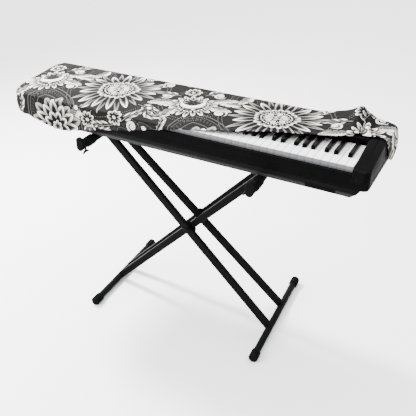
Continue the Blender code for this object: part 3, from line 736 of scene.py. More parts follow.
# %% Black keys
LOWEST_KEY = 2
SHARPS = (
    # boundary in the octave, offset
    (1, -0.0023),
    (2, 0.0026),
    (4, -0.0030),
    (5, 0.0005),
    (6, 0.0040),
)
SHARP_FRONT, SHARP_HALF = -0.0870, 0.0068
SHARP_BACK_CORNER = 0.0006
SHARP_LEVELS = (
    # height, inset at the sides, at the front, corner radius
    (0.0003, 0.0000, 0.0000, 0.0012),
    (0.0060, 0.0002, 0.0014, 0.0014),
    (0.0100, 0.0004, 0.0028, 0.0016),
    (0.0111, 0.0006, 0.0035, 0.0018),
    (0.0117, 0.0010, 0.0045, 0.0017),
    (0.0120, 0.0017, 0.0060, 0.0014),
)
boundary, offset = np.array(SHARPS).T
marks = (np.arange(OCTAVES)[:, None] * KEYS_IN_OCTAVE + boundary).ravel()
sharp_x = KEY_LEFT + (marks - LOWEST_KEY) * KEY_PITCH + np.tile(offset, OCTAVES)
sharp_x = sharp_x[(marks > LOWEST_KEY) & (marks < LOWEST_KEY + KEYS)]
one_sharp = np.array([
    np.column_stack([ring, np.full(len(ring), KEY_TOP + high)])
    for high, side, slope, radius in SHARP_LEVELS
    for ring in [plan_ring((-SHARP_HALF + side, SHARP_FRONT + slope), (SHARP_HALF - side, KEY_BACK),
                           (radius, radius, SHARP_BACK_CORNER, SHARP_BACK_CORNER),
                           round_points=5, side_points=0)]
])
black_keys = row_of_keys("black_keys", one_sharp, sharp_x)
print("black keys:", len(sharp_x))

# %% [markdown]
# The stand
# A folding cross stand: two foot bars, two pairs of rectangular braces that cross on a bolt, and two
# padded sleeves on top that carry the piano. It stands turned a little under the piano, so its points
# are worked out along and across the stand first, and then turned.

# %% Frame of the stand
STAND_TURN = math.radians(3.5)
STAND_AT = np.array([0.0356, 0.0, 0.0])
CAP_R = 0.0167
FOOT_R, FOOT_Z = 0.0125, 0.0157
FEET = {"left": (-0.348, 0.190), "right": (0.326, 0.206)}
SLEEVE_R = 0.015
SLEEVE_Z = TRAY_BOTTOM - GAP - SLEEVE_R
SLEEVES = {"left": (-0.350, -0.187, 0.170, 270.0), "right": (0.285, -0.232, 0.170, 222.0)}
print("feet", round(FEET["right"][0] - FEET["left"][0], 3), "apart, sleeves at", round(SLEEVE_Z, 4))


def on_stand(points):
    """Turns points from the stand's own frame to the piano's."""
    turn = np.array([[math.cos(STAND_TURN), -math.sin(STAND_TURN), 0],
                     [math.sin(STAND_TURN), math.cos(STAND_TURN), 0],
                     [0, 0, 1]])
    return points @ turn.T + STAND_AT


def turned_part(profile, start, direction=(0, 1, 0), segments=40):
    """A turned shape: each row of the profile is a distance along the axis and a radius there."""
    distance, radius = np.array(profile).T
    direction = np.array(direction, dtype=float)
    side = np.cross(direction, (0.0, 0.0, 1.0)) if abs(direction[2]) < 0.9 else np.array([1.0, 0.0, 0.0])
    side /= np.linalg.norm(side)
    other = np.cross(direction, side)
    angle = np.linspace(0, 2 * math.pi, segments, endpoint=False)[None, :, None]
    round_line = np.cos(angle) * side + np.sin(angle) * other
    return np.array(start) + distance[:, None, None] * direction + radius[:, None, None] * round_line


def rounded_bar(length, radius, edge, steps=5):
    """Profile of a bar with both rims rounded."""
    head = roundover(edge, steps) * (1, -1) + (0, radius)
    tail = head[::-1] * (-1, 1) + (length, 0)
    return np.vstack([head, tail])


def stand_part(name, grid, slot, *nodes, **joins):
    """A finished piece of the stand, in the finish of its slot."""
    piece = piece_from_grid(name, on_stand(grid), wrap_columns=True, **(joins or {"caps": True}))
    stand_parts[slot].append(finish_piece(piece, nodes))


stand_parts = {"stand_steel": [], "stand_rubber": []}


# %% [markdown]
# Feet
# A foot bar is a plain steel tube. The caps at its ends are rubber, thicker than the tube, rounded at
# the end, and worn flat where they stand.

# %% Build the feet
CAP_LONG, CAP_ROUND, CAP_STEPS = 0.040, 0.006, 9
CAP_LIP = (
    # distance, radius
    (0.0000, CAP_R - 0.0012),
    (0.0010, CAP_R - 0.0002),
    (0.0020, CAP_R),
)
FOOT_EDGE = 0.0008
cap_profile = np.vstack([CAP_LIP, rounded_bar(CAP_LONG, CAP_R, CAP_ROUND, CAP_STEPS)[CAP_STEPS:]])
for side, (u, half) in FEET.items():
    bar = turned_part(rounded_bar(2 * half, FOOT_R, FOOT_EDGE), (u, -half, FOOT_Z))
    stand_part(f"foot_tube_{side}", bar, "stand_steel", f"foot_bar_{side}")
    for end, sign in (("front", -1), ("back", 1)):
        cap = turned_part(cap_profile, (u, sign * (half + GAP), FOOT_Z), (0, sign, 0))
        cap[..., 2] = np.maximum(cap[..., 2], 0.0)
        stand_part(f"foot_rubber_{side}_{end}", cap, "stand_rubber", f"foot_cap_{side}_{end}")
print("feet:", {slot: len(pieces) for slot, pieces in stand_parts.items()})

# %% [markdown]
# Braces
# Each brace is a rectangular tube with rounded edges. Its ends are cut to the round bars that they
# meet, the foot bar below and the sleeve above. Every long line of the tube is followed until it
# meets the bar, which is one quadratic equation for each line.

# %% Build the braces
TUBE_HIGH, TUBE_WIDE, TUBE_ROUND = 0.0265, 0.020, 0.003
BRACE_RINGS = (0.0, 0.002, 0.25, 0.5, 0.75, 0.998, 1.0)
BRACES = {
    # foot side, foot v, sleeve side, top v, beside, below
    "outer_brace_front": ("right", -0.070, "left", -0.033, 0.000, 0.008),
    "outer_brace_back": ("right", 0.066, "left", 0.031, 0.000, 0.008),
    "inner_brace_front": ("left", -0.037, "right", -0.015, 0.007, 0.016),
    "inner_brace_back": ("left", 0.034, "right", 0.115, 0.007, 0.016),
}


def meet_bar(line_point, direction, u, z, radius, sign):
    """How far along each line it meets a round bar that runs across: the root of a quadratic."""
    from_bar = (line_point - (u, 0, z)) * (1, 0, 1)
    flat = direction * (1, 0, 1)
    a, b = flat @ flat, from_bar @ flat
    c = (from_bar * from_bar).sum(-1) - radius ** 2
    return (-b + sign * np.sqrt(np.maximum(b * b - a * c, 0.0))) / a


def brace_line(row):
    """The middle of a brace's foot and of its top."""
    foot_side, foot_v, sleeve_side, top_v, beside, below = row
    start = np.array((FEET[foot_side][0], foot_v, FOOT_Z))
    return start, np.array((SLEEVES[sleeve_side][0] + beside, top_v, SLEEVE_Z - below))


for name, row in BRACES.items():
    start, top = brace_line(row)
    along = (top - start) / np.linalg.norm(top - start)
    across = np.array((0.0, 1.0, 0.0)) - along[1] * along
    across /= np.linalg.norm(across)
    over = np.cross(along, across)
    section = plan_ring((-TUBE_WIDE / 2, -TUBE_HIGH / 2), (TUBE_WIDE / 2, TUBE_HIGH / 2), TUBE_ROUND,
                        round_points=6, side_points=5)
    lines = start + section[:, :1] * across + section[:, 1:] * over
    first = meet_bar(lines, along, FEET[row[0]][0], FOOT_Z, FOOT_R + GAP, 1)
    last = meet_bar(lines, along, SLEEVES[row[2]][0], SLEEVE_Z, SLEEVE_R + GAP, -1)
    share = np.array(BRACE_RINGS)[:, None]
    distance = first * (1 - share) + last * share
    stand_part(name + "_tube", lines + distance[..., None] * along, "stand_steel", name)
print("braces:", len(BRACES))

# %% [markdown]
# The pivot
# One bolt goes through all four braces. Its head and its nut show, with a large disc between the
# braces at the front and at the back, and a spacer in the middle.

# %% Build the pivot
PIVOT = {
    # radius, first v, last v, rounding
    "pivot_bolt_head": (0.011, -0.0689, -0.0620, 0.0025),
    "pivot_disc_front": (0.026, -0.0399, -0.0366, 0.0012),
    "pivot_spacer": (0.009, -0.0151, 0.0375, 0.0005),
    "pivot_disc_back": (0.026, 0.0595, 0.0630, 0.0012),
    "pivot_nut": (0.011, 0.0870, 0.0940, 0.0020),
}
right_foot, left_top = brace_line(BRACES["outer_brace_front"])
left_foot, right_top = brace_line(BRACES["inner_brace_front"])
outer = (left_top[2] - FOOT_Z) / (right_foot[0] - left_top[0])
inner = (right_top[2] - FOOT_Z) / (right_top[0] - left_foot[0])
pivot_u = (outer * right_foot[0] + inner * left_foot[0]) / (outer + inner)
pivot_z = FOOT_Z + outer * (right_foot[0] - pivot_u)
for name, (radius, first, last, edge) in PIVOT.items():
    grid = turned_part(rounded_bar(last - first, radius, edge), (pivot_u, first, pivot_z))
    stand_part(name + "_turned", grid, "stand_steel", name)
print("pivot at", round(pivot_u, 4), round(pivot_z, 4))

# %% [markdown]
# Sleeves, stops and wing screws
# The piano lies on two foam sleeves. At the front of each a lug stands up to keep it from sliding
# off, held by a wing screw. Between the screw and the tray a collar grips the sleeve.

# %% Build what carries the piano
STOP_WIDE, STOP_HIGH, STOP_THICK, STOP_BELOW, STOP_EDGE = 0.025, 0.050, 0.012, 0.017, 0.0025
SLEEVE_EDGE = 0.0025
PLUG_R, PLUG_LONG, PLUG_EDGE = 0.014, 0.012, 0.003
SCREW_BEHIND = 0.020
STEM_R, STEM_LONG, STEM_EDGE = 0.0035, 0.014, 0.0004
WING_THICK, WING_SPAN, WING_HIGH, WING_EDGE = 0.006, 0.031, 0.013, 0.0012
WING_WAIST, WING_RISE = 0.55, 0.35
COLLAR_R, COLLAR_BEHIND, COLLAR_Y, COLLAR_EDGE = 0.0180, 0.027, -0.1430, 0.0022


def slab_rings(edge, thick, steps):
    """Inset and depth of the rings through a slab whose two rims are rounded."""
    turned = roundover(edge, steps)
    inset = np.concatenate([turned[::-1, 0], turned[:, 0]])
    depth = np.concatenate([turned[::-1, 1], thick - turned[:, 1]])
    return inset[:, None], depth[:, None]


def lug(u, v):
    """An upright slab with half-round ends, its edges rounded over."""
    inset, depth = slab_rings(STOP_EDGE, STOP_THICK, 6)
    angle = np.linspace(0, 2 * math.pi, 48, endpoint=False)
    radius = STOP_WIDE / 2 - inset
    shift = np.where(angle < math.pi, 1, -1) * (STOP_HIGH - STOP_WIDE) / 2
    x = u + radius * np.cos(angle)
    z = SLEEVE_Z + STOP_HIGH / 2 - STOP_BELOW + shift + radius * np.sin(angle)
    return np.stack([x, v - depth + 0 * x, z], axis=-1)


def wings(root, out, side):
    """A flat head with two wings, in the plane of out and side: an oval, drawn in at the stem."""
    inset, depth = slab_rings(WING_EDGE, WING_THICK, 4)
    angle = np.linspace(0, 2 * math.pi, 40, endpoint=False)
    outward = np.cos(angle) ** 2
    span = (WING_SPAN / 2 - inset) * np.cos(angle)
    high = (WING_HIGH / 2 - inset) * np.sin(angle) * (WING_WAIST + (1 - WING_WAIST) * outward)
    high = high + WING_HIGH * WING_RISE * outward
    depth = depth - WING_THICK / 2
    return root + span[..., None] * side + high[..., None] * out + depth[..., None] * np.cross(out, side)


# %% Place sleeves, stops, screws and collars
for side, (u, first, last, around) in SLEEVES.items():
    sleeve = turned_part(rounded_bar(last - first, SLEEVE_R, SLEEVE_EDGE), (u, first, SLEEVE_Z))
    stand_part(f"sleeve_foam_{side}", sleeve, "stand_rubber", f"sleeve_{side}")
    plug = turned_part(rounded_bar(PLUG_LONG - GAP, PLUG_R, PLUG_EDGE), (u, last + GAP, SLEEVE_Z))
    stand_part(f"sleeve_end_{side}", plug, "stand_rubber", f"sleeve_plug_{side}")
    stand_part(f"stop_lug_{side}", lug(u, first - GAP), "stand_rubber", f"sleeve_stop_{side}")
    out = np.array([math.cos(math.radians(around)), 0.0, math.sin(math.radians(around))])
    middle = np.array([u, first + SCREW_BEHIND, SLEEVE_Z])
    stem = turned_part(rounded_bar(STEM_LONG, STEM_R, STEM_EDGE), middle + out * (SLEEVE_R + GAP), out, 20)
    stand_part(f"screw_stem_{side}", stem, "stand_steel", f"wing_screw_{side}")
    head = wings(middle + out * (SLEEVE_R + STEM_LONG), out, np.array([0.0, 1.0, 0.0]))
    stand_part(f"screw_wings_{side}", head, "stand_steel")
    collar_from = first + COLLAR_BEHIND
    collar_long = (COLLAR_Y - u * math.sin(STAND_TURN)) / math.cos(STAND_TURN) - collar_from
    bore = [(collar_long, SLEEVE_R + GAP), (0.0, SLEEVE_R + GAP)]
    collar = np.vstack([rounded_bar(collar_long, COLLAR_R, COLLAR_EDGE), bore])
    collar = turned_part(collar, (u, collar_from, SLEEVE_Z))
    stand_part(f"sleeve_collar_{side}", collar, "stand_rubber", wrap_rows=True)
print("stand pieces:", sum(len(pieces) for pieces in stand_parts.values()))

# %% [markdown]
# The cloth gets its thickness
# The sheet is worked out along its middle. Half of the thickness goes to each side of it. The hem is
# the edge of the same sheet.

# %% Finish the cover
thick = cover.modifiers.new("thickness", "SOLIDIFY")
thick.thickness = CLOTH
thick.offset = 0.0
finish_piece(cover, ("cover",))


# %% [markdown]
# How the print is drawn
# The cloth is printed with cream flowers on a charcoal ground. A picture of the print would blur
# close up, so it is drawn with numbers instead: each motif is a formula of the place on the cloth.
# Writing such formulas with nodes by hand is slow. A small class lets Python's own arithmetic add
# the Math nodes.

# %% Arithmetic with sockets
class Value:
    """The number that a socket puts out. Arithmetic on it adds Math nodes to the socket's tree."""

    def __init__(self, socket):
        self.socket = socket
        self.tree = socket.id_data

    def __add__(self, other):
        return calculate("ADD", self, other)

    def __sub__(self, other):
        return calculate("SUBTRACT", self, other)

    def __rsub__(self, other):
        return calculate("SUBTRACT", other, self)

    def __mul__(self, other):
        return calculate("MULTIPLY", self, other)

    def __truediv__(self, other):
        return calculate("DIVIDE", self, other)

    def __pow__(self, other):
        return calculate("POWER", self, other)

    __radd__ = __add__
    __rmul__ = __mul__


def feed(item, slot):
    """Sets a socket to a number, or links a value or another socket to it."""
    item = getattr(item, "socket", item)
    if isinstance(item, bpy.types.NodeSocket):
        slot.id_data.links.new(item, slot)
    else:
        slot.default_value = item


def calculate(operation, *items):
    """One Math node."""
    tree = next(item.tree for item in items if isinstance(item, Value))
    node = tree.nodes.new("ShaderNodeMath")
    node.operation = operation
    for slot, item in zip(node.inputs, items):
        feed(item, slot)
    return Value(node.outputs[0])


# %% Steps, waves and distances
def soft_step(value, start, stop):
    """0 below start, 1 above stop, and eased in between. It falls where start is above stop."""
    node = value.tree.nodes.new("ShaderNodeMapRange")
    node.interpolation_type = "SMOOTHSTEP"
    node.clamp = False
    feed(value, node.inputs["Value"])
    feed(start, node.inputs["From Min"])
    feed(stop, node.inputs["From Max"])
    return Value(node.outputs["Result"])


def size_of(value):
    """The value without its sign."""
    return calculate("ABSOLUTE", value)


def lesser(one, other):
    """The smaller of two values."""
    return calculate("MINIMUM", one, other)


def greater(one, other):
    """The greater of two values."""
    return calculate("MAXIMUM", one, other)


def most(values):
    """The greatest of several values."""
    return functools.reduce(greater, values)


def within(value):
    """The value, kept between 0 and 1."""
    return lesser(greater(value, 0.0), 1.0)


def wave(value):
    """Cosine of a number of full turns."""
    return calculate("COSINE", value * (2 * math.pi))


def length_of(x, y):
    """Distance of x, y from the middle: the root of the sum of their squares."""
    return calculate("SQRT", x * x + y * y)


def axes(point):
    """The three coordinates of a point."""
    parts = point.id_data.nodes.new("ShaderNodeSeparateXYZ")
    feed(point, parts.inputs[0])
    return [Value(part) for part in parts.outputs]


def seen_from(point, at, turn):
    """A point x, y as seen from a place on the cloth that is turned by some degrees."""
    x, y = point
    if not turn:
        return x - at[0], y - at[1]
    cosine, sine = math.cos(math.radians(turn)), math.sin(math.radians(turn))
    shift_x = -(at[0] * cosine + at[1] * sine)
    shift_y = at[0] * sine - at[1] * cosine
    return (calculate("MULTIPLY_ADD", x, cosine, calculate("MULTIPLY_ADD", y, sine, shift_x)),
            calculate("MULTIPLY_ADD", x, -sine, calculate("MULTIPLY_ADD", y, cosine, shift_y)))


# %% [markdown]
# A motif is a node group. It takes a point, X and Y in metres from the motif's own middle, and puts
# out two numbers. The mask says where the motif covers what lies under it, a thin dark outline
# included. The tone says how light it is there, from black at 0 to cream at 1. The charcoal ground has
# a low tone of its own, so the outlines stand out from it.

# %% Start and close a motif
def start_group(name, inputs, outputs):
    """A node group with named sockets, and its inputs. A point is a vector, all others are numbers."""
    tree = bpy.data.node_groups.new(name, "ShaderNodeTree")
    for way, labels in (("INPUT", inputs), ("OUTPUT", outputs)):
        for label in labels:
            kind = "NodeSocketVector" if label == "Point" else "NodeSocketFloat"
            tree.interface.new_socket(label, in_out=way, socket_type=kind)
    entry = tree.nodes.new("NodeGroupInput")
    return [entry.outputs[label] if label == "Point" else Value(entry.outputs[label]) for label in inputs]


def close_group(**results):
    """Links the results to the group's outputs."""
    tree = next(iter(results.values())).tree
    leave = tree.nodes.new("NodeGroupOutput")
    for label, value in results.items():
        feed(value, leave.inputs[label])
    print("group", tree.name, "has", len(tree.nodes), "nodes")
    return tree


def place_group(tree, group, **values):
    """Places a group in a tree, with its inputs set or linked."""
    node = tree.nodes.new("ShaderNodeGroup")
    node.node_tree = group
    for label, value in values.items():
        feed(value, node.inputs[label])
    return node


def start_motif(name, *sizes):
    """A motif's group: it takes X and Y and the motif's sizes, and puts out a mask and a tone."""
    return start_group(name, ("X", "Y", *sizes), ("Mask", "Tone"))


def close_motif(edge, light, inside=1.0):
    """A motif from the distance inside its edge, and from how light it is there."""
    return close_group(Mask=soft_step(edge, *OUTLINE) * inside, Tone=soft_step(edge, *FILL) * light)


OUTLINE = (-0.0036, -0.0026)
FILL = (-0.0006, 0.0004)
GROUND_TONE = 0.335
LEAST_HALF = 0.00001


def between_ends(part, ease):
    """1 along a blade, and 0 at both of its ends and past them."""
    return soft_step(part * (1.0 - part), 0.0, ease)


# %% [markdown]
# Petals
# A ring of petals is one petal drawn in the sector nearest to each point. The angle, counted in
# petals and rounded, says which one it is. What is left over turns the point into that petal's own
# length and width. Every petal has a slightly different length, and is engraved with lines that fade
# towards its tip.

# %% Petal ring
PETALS_VARY = 0.055

x, y, count, inner, outer, width, tip, turn, engraved = start_motif(
    "petal_ring", "Count", "Inner", "Outer", "Width", "Tip", "Turn", "Engraved")
radius = length_of(x, y)
petal = calculate("ARCTAN2", y, x) * count / (2 * math.pi) + turn
which = calculate("ROUND", petal)
lean = (petal - which) / count * (2 * math.pi)
along = radius * calculate("COSINE", lean)
across = size_of(radius * calculate("SINE", lean))
reach = outer * (1.0 + PETALS_VARY * wave(which * 5 / count + 0.15))
part = within((along - inner) / (reach - inner))
half = greater(width * 2.4 * part ** 0.6 * (1.0 - part) ** tip, LEAST_HALF)
edge = half - across
inside = between_ends(part, 0.012)
side = across / half
fade = soft_step(part, 1.0, 0.10)
lines = soft_step(wave(side * 1.5 + 0.5), -0.3, 0.6) * soft_step(part, 0.85, 0.25)
rib = soft_step(side, 0.30, 0.02) * soft_step(part, 0.95, 0.75)
hollow = (1.0 - 0.7 * side) * fade
shade = engraved * (0.60 * lines + 0.66 * hollow + 0.40 * rib)
petal_ring = close_motif(edge, greater(1.0 - shade, 0.0), inside)

# %% [markdown]
# Leaves
# A leaf runs from its foot along x. Its middle line bends, its edge has lobes, and one half lies in
# shade. The veins leave the middle line at a slant.

# %% Leaf
x, y, length, width, bend, lobes, depth = start_motif("leaf", "Length", "Width", "Bend", "Lobes", "Depth")
part = within(x / length)
off = y - bend * part * part
across = size_of(off)
lobe = 1.0 - depth * soft_step(wave(part * lobes - across / width * 0.5), 0.2, 1.0)
half = greater(width * 2.2 * part ** 0.55 * (1.0 - part) ** 0.8 * lobe, LEAST_HALF)
edge = half - across
inside = between_ends(part, 0.012)
veins = soft_step(wave((x - across * 1.3) / 0.0095), 0.1, 0.8) * soft_step(across / half, 0.95, 0.2)
dark_side = soft_step(off / half, -0.15, 0.35) * soft_step(part, 1.0, 0.4)
rib = soft_step(across, 0.0020, 0.0006)
shade = lesser(0.38 * veins + 0.30 * dark_side + 0.55 * rib, 0.85)
leaf = close_motif(edge, 1.0 - shade, inside)

# %% [markdown]
# Sprays
# A spray is a bent stem with pairs of small leaves. Following a leaf's slant back to the stem says
# which pair a point belongs to, so one formula draws them all. They get smaller towards the tip, and
# Lower says how long they are below the stem beside those above it.

# %% Spray of leaves
SLANT = math.radians(40)
STEM_HALF = 0.0011

x, y, length, step, blade, width, bend, lower = start_motif(
    "spray", "Length", "Step", "Blade", "Width", "Bend", "Lower")
off = y - bend * (x / length) ** 2.0
across = size_of(off)
foot = x - across / math.tan(SLANT)
pair = calculate("ROUND", foot / step)
along_stem = pair * step / length
grown = blade * (1.0 - 0.45 * along_stem) * (lower + (1.0 - lower) * soft_step(off, -0.0003, 0.0003))
part = within(across / math.sin(SLANT) / grown)
off_blade = (foot - pair * step) * math.sin(SLANT)
half = greater(width * 2.2 * part ** 0.6 * (1.0 - part) ** 0.5 * (grown / blade), LEAST_HALF)
edge = half - size_of(off_blade)
inside = between_ends(part, 0.03)
inside = inside * soft_step(along_stem, 1.001, 0.999) * soft_step(along_stem, -0.001, 0.001)
stem = STEM_HALF - across
stem_end = soft_step(x, -0.001, 0.001) * soft_step(x, length + 0.003, length)
shade = 0.70 * soft_step(part, 0.65, 0.0) + 0.28 * soft_step(off_blade / half, -0.2, 0.2)
blades = soft_step(edge, *FILL) * inside * greater(1.0 - shade, 0.0)
stalk = soft_step(stem, -0.0005, 0.0003) * stem_end * 0.75
covered = greater(soft_step(edge, *OUTLINE) * inside, soft_step(stem, *OUTLINE) * stem_end)
spray = close_group(Mask=covered, Tone=greater(blades, stalk))

# %% [markdown]
# Scrolls
# A scroll is a stroke on a spiral: its distance from the middle grows evenly with the turns made.
# The turn that lies nearest to a point is found by rounding. The stroke swells in the middle, thins
# out at its outer end, and has a ball at the inner one.

# %% Scroll
x, y, pitch, turns, stroke = start_motif("scroll", "Pitch", "Turns", "Stroke")
radius = length_of(x, y)
angle = calculate("ARCTAN2", y, x) / (2 * math.pi)
made = calculate("ROUND", radius / pitch - angle) + angle
made = lesser(greater(made, 0.25), turns)
distance = size_of(radius - pitch * made)
swell = greater(made / turns * (1.0 - made / turns), 0.0)
edge = stroke * (0.35 + 2.6 * swell) * soft_step(made, turns, turns * 0.9) - distance
ball = pitch * 0.50 - radius
edge = greater(edge, ball)
open_end = soft_step(radius, pitch * turns + 0.001, pitch * turns)
groove = soft_step(size_of(radius - pitch * made + stroke * 0.25), 0.0011, 0.0003)
scroll = close_motif(edge, open_end * (1.0 - 0.45 * groove), open_end)

# %% [markdown]
# Beads, discs and crescents
# Beads are one dot repeated round a ring. A disc is a dot with a shaded rim. A crescent is a ring
# that gets thinner towards the top, where it stops.

# %% Beads, disc, crescent
x, y, count, ring, size = start_motif("beads", "Count", "Ring", "Size")
radius = length_of(x, y)
bead = calculate("ARCTAN2", y, x) * count / (2 * math.pi)
lean = (bead - calculate("ROUND", bead)) / count * (2 * math.pi)
edge = size - length_of(radius * calculate("COSINE", lean) - ring, radius * calculate("SINE", lean))
beads = close_group(Mask=soft_step(edge, -0.0008, 0.0), Tone=soft_step(edge, -0.0003, 0.0003))

x, y, size, hole = start_motif("disc", "Size", "Hole")
radius = length_of(x, y)
edge = size - radius
rim = soft_step(edge / size, 0.45, 0.2) * soft_step(x + y, 0.0, size)
disc = close_motif(edge, (1.0 - 0.4 * rim) * soft_step(radius - hole, -0.0003, 0.0003))

x, y, ring, stroke = start_motif("crescent", "Ring", "Stroke")
radius = length_of(x, y)
low = soft_step(y / ring, 0.55, -0.9)
edge = stroke * low - size_of(radius - ring) - soft_step(y / ring, 0.35, 0.45) * 0.02
hatch = soft_step(wave(calculate("ARCTAN2", y, x) * 9.0), 0.2, 0.9)
hatch = hatch * soft_step(radius - ring, 0.0, stroke)
crescent = close_motif(edge, 1.0 - 0.4 * hatch)

# %% [markdown]
# Arches
# A pointed arch is a circle whose radius is drawn out towards the top. Dividing the distance from
# the middle by that outline gives a number that is the same all round each of its copies, large or
# small. Thin lines and a row of ticks follow from it. The arch is drawn only above its foot.

# %% Arch and bud
x, y, size, foot = start_motif("arch", "Size", "Foot")
radius = length_of(x, y)
up = calculate("ARCTAN2", size_of(x), y) / (math.pi / 2)
peak = greater(1.0 - up / 0.62, 0.0) ** 1.7
level = radius / (1.0 + 0.36 * peak) / size
line = most(soft_step(size_of(level - at), *wide)
            for at, wide in ((1.00, (0.022, 0.008)), (0.90, (0.014, 0.004)), (0.66, (0.018, 0.006))))
ticks = soft_step(wave(up * 14.0), 0.1, 0.8) * soft_step(size_of(level - 0.80), 0.055, 0.045)
above = soft_step(y / size, foot - 0.01, foot)
arch = close_group(Mask=soft_step(level, 1.05, 1.03) * above,
                   Tone=greater(0.62 * line, GROUND_TONE + 0.16 * ticks))

x, y, size = start_motif("bud", "Size")
x = size_of(x) / size
y = y / size
edge = size * most(radius - length_of(x - beside, y - up) for radius, beside, up in (
    (0.36, 0.0, 0.62), (0.33, 0.34, 0.16), (0.30, 0.40, -0.36), (0.52, 0.0, -0.10)))
slot = greater(0.075 - length_of(x, y - 0.52), lesser(0.05 - x, 0.40 - size_of(y + 0.10))) * size
lines = soft_step(wave(x * 6.0 + 0.5), 0.5, 0.95) * soft_step(y, 0.15, -0.45)
bud = close_motif(edge, soft_step(slot, 0.0003, -0.0003) * (1.0 - 0.5 * lines))

# %% [markdown]
# The repeat
# A printed cloth repeats. This one is a half drop: each column is the one before it, moved down by
# half of the repeat. A point is folded into the nearest copy of a motif's place. The print stands
# turned on the cloth, so that it looks upright from the player's right.

# %% Fold and lay out
REPEAT = 0.53
DROP = REPEAT / 2
PRINT_TURN = 28.7
PRINT_AT = (-0.283, 0.0)
print("the print repeats every", REPEAT)


def fold(point, at):
    """The point as seen from the nearest copy of the place at, in a half-drop repeat."""
    x, y = point
    column = calculate("ROUND", (x - at[0]) / REPEAT)
    x = x - at[0] - column * REPEAT
    y = y - at[1] + column * DROP
    return x, y - calculate("ROUND", y / REPEAT) * REPEAT


def mirrored(point):
    """The point with x as its size alone, so that what is drawn on the right shows on the left too."""
    return size_of(point[0]), point[1]


def curled(point, at, turn, ring):
    """The point counted round a ring: how far it lies along the ring, and how far outside it."""
    x, y = seen_from(point, at, turn)
    return calculate("ARCTAN2", y, x) * ring, length_of(x, y) - ring


def lay(below, group, point, at, turn, dim, sizes):
    """Prints a motif over what is below it, and returns the new tone."""
    x, y = seen_from(point, at, turn)
    node = place_group(x.tree, group)
    for slot, value in zip(node.inputs, (x, y, *sizes)):
        feed(value, slot)
    mask, tone = Value(node.outputs["Mask"]), Value(node.outputs["Tone"])
    return below + (tone * dim - below) * mask


# %% [markdown]
# The layout is a list of rows, laid over each other from the first to the last. Each names a motif, the
# family of places where it stands, its own place there, its turn in degrees, how bright it is, and its
# sizes in the order in which the motif asks for them. A pair family is mirrored, so one row prints two.

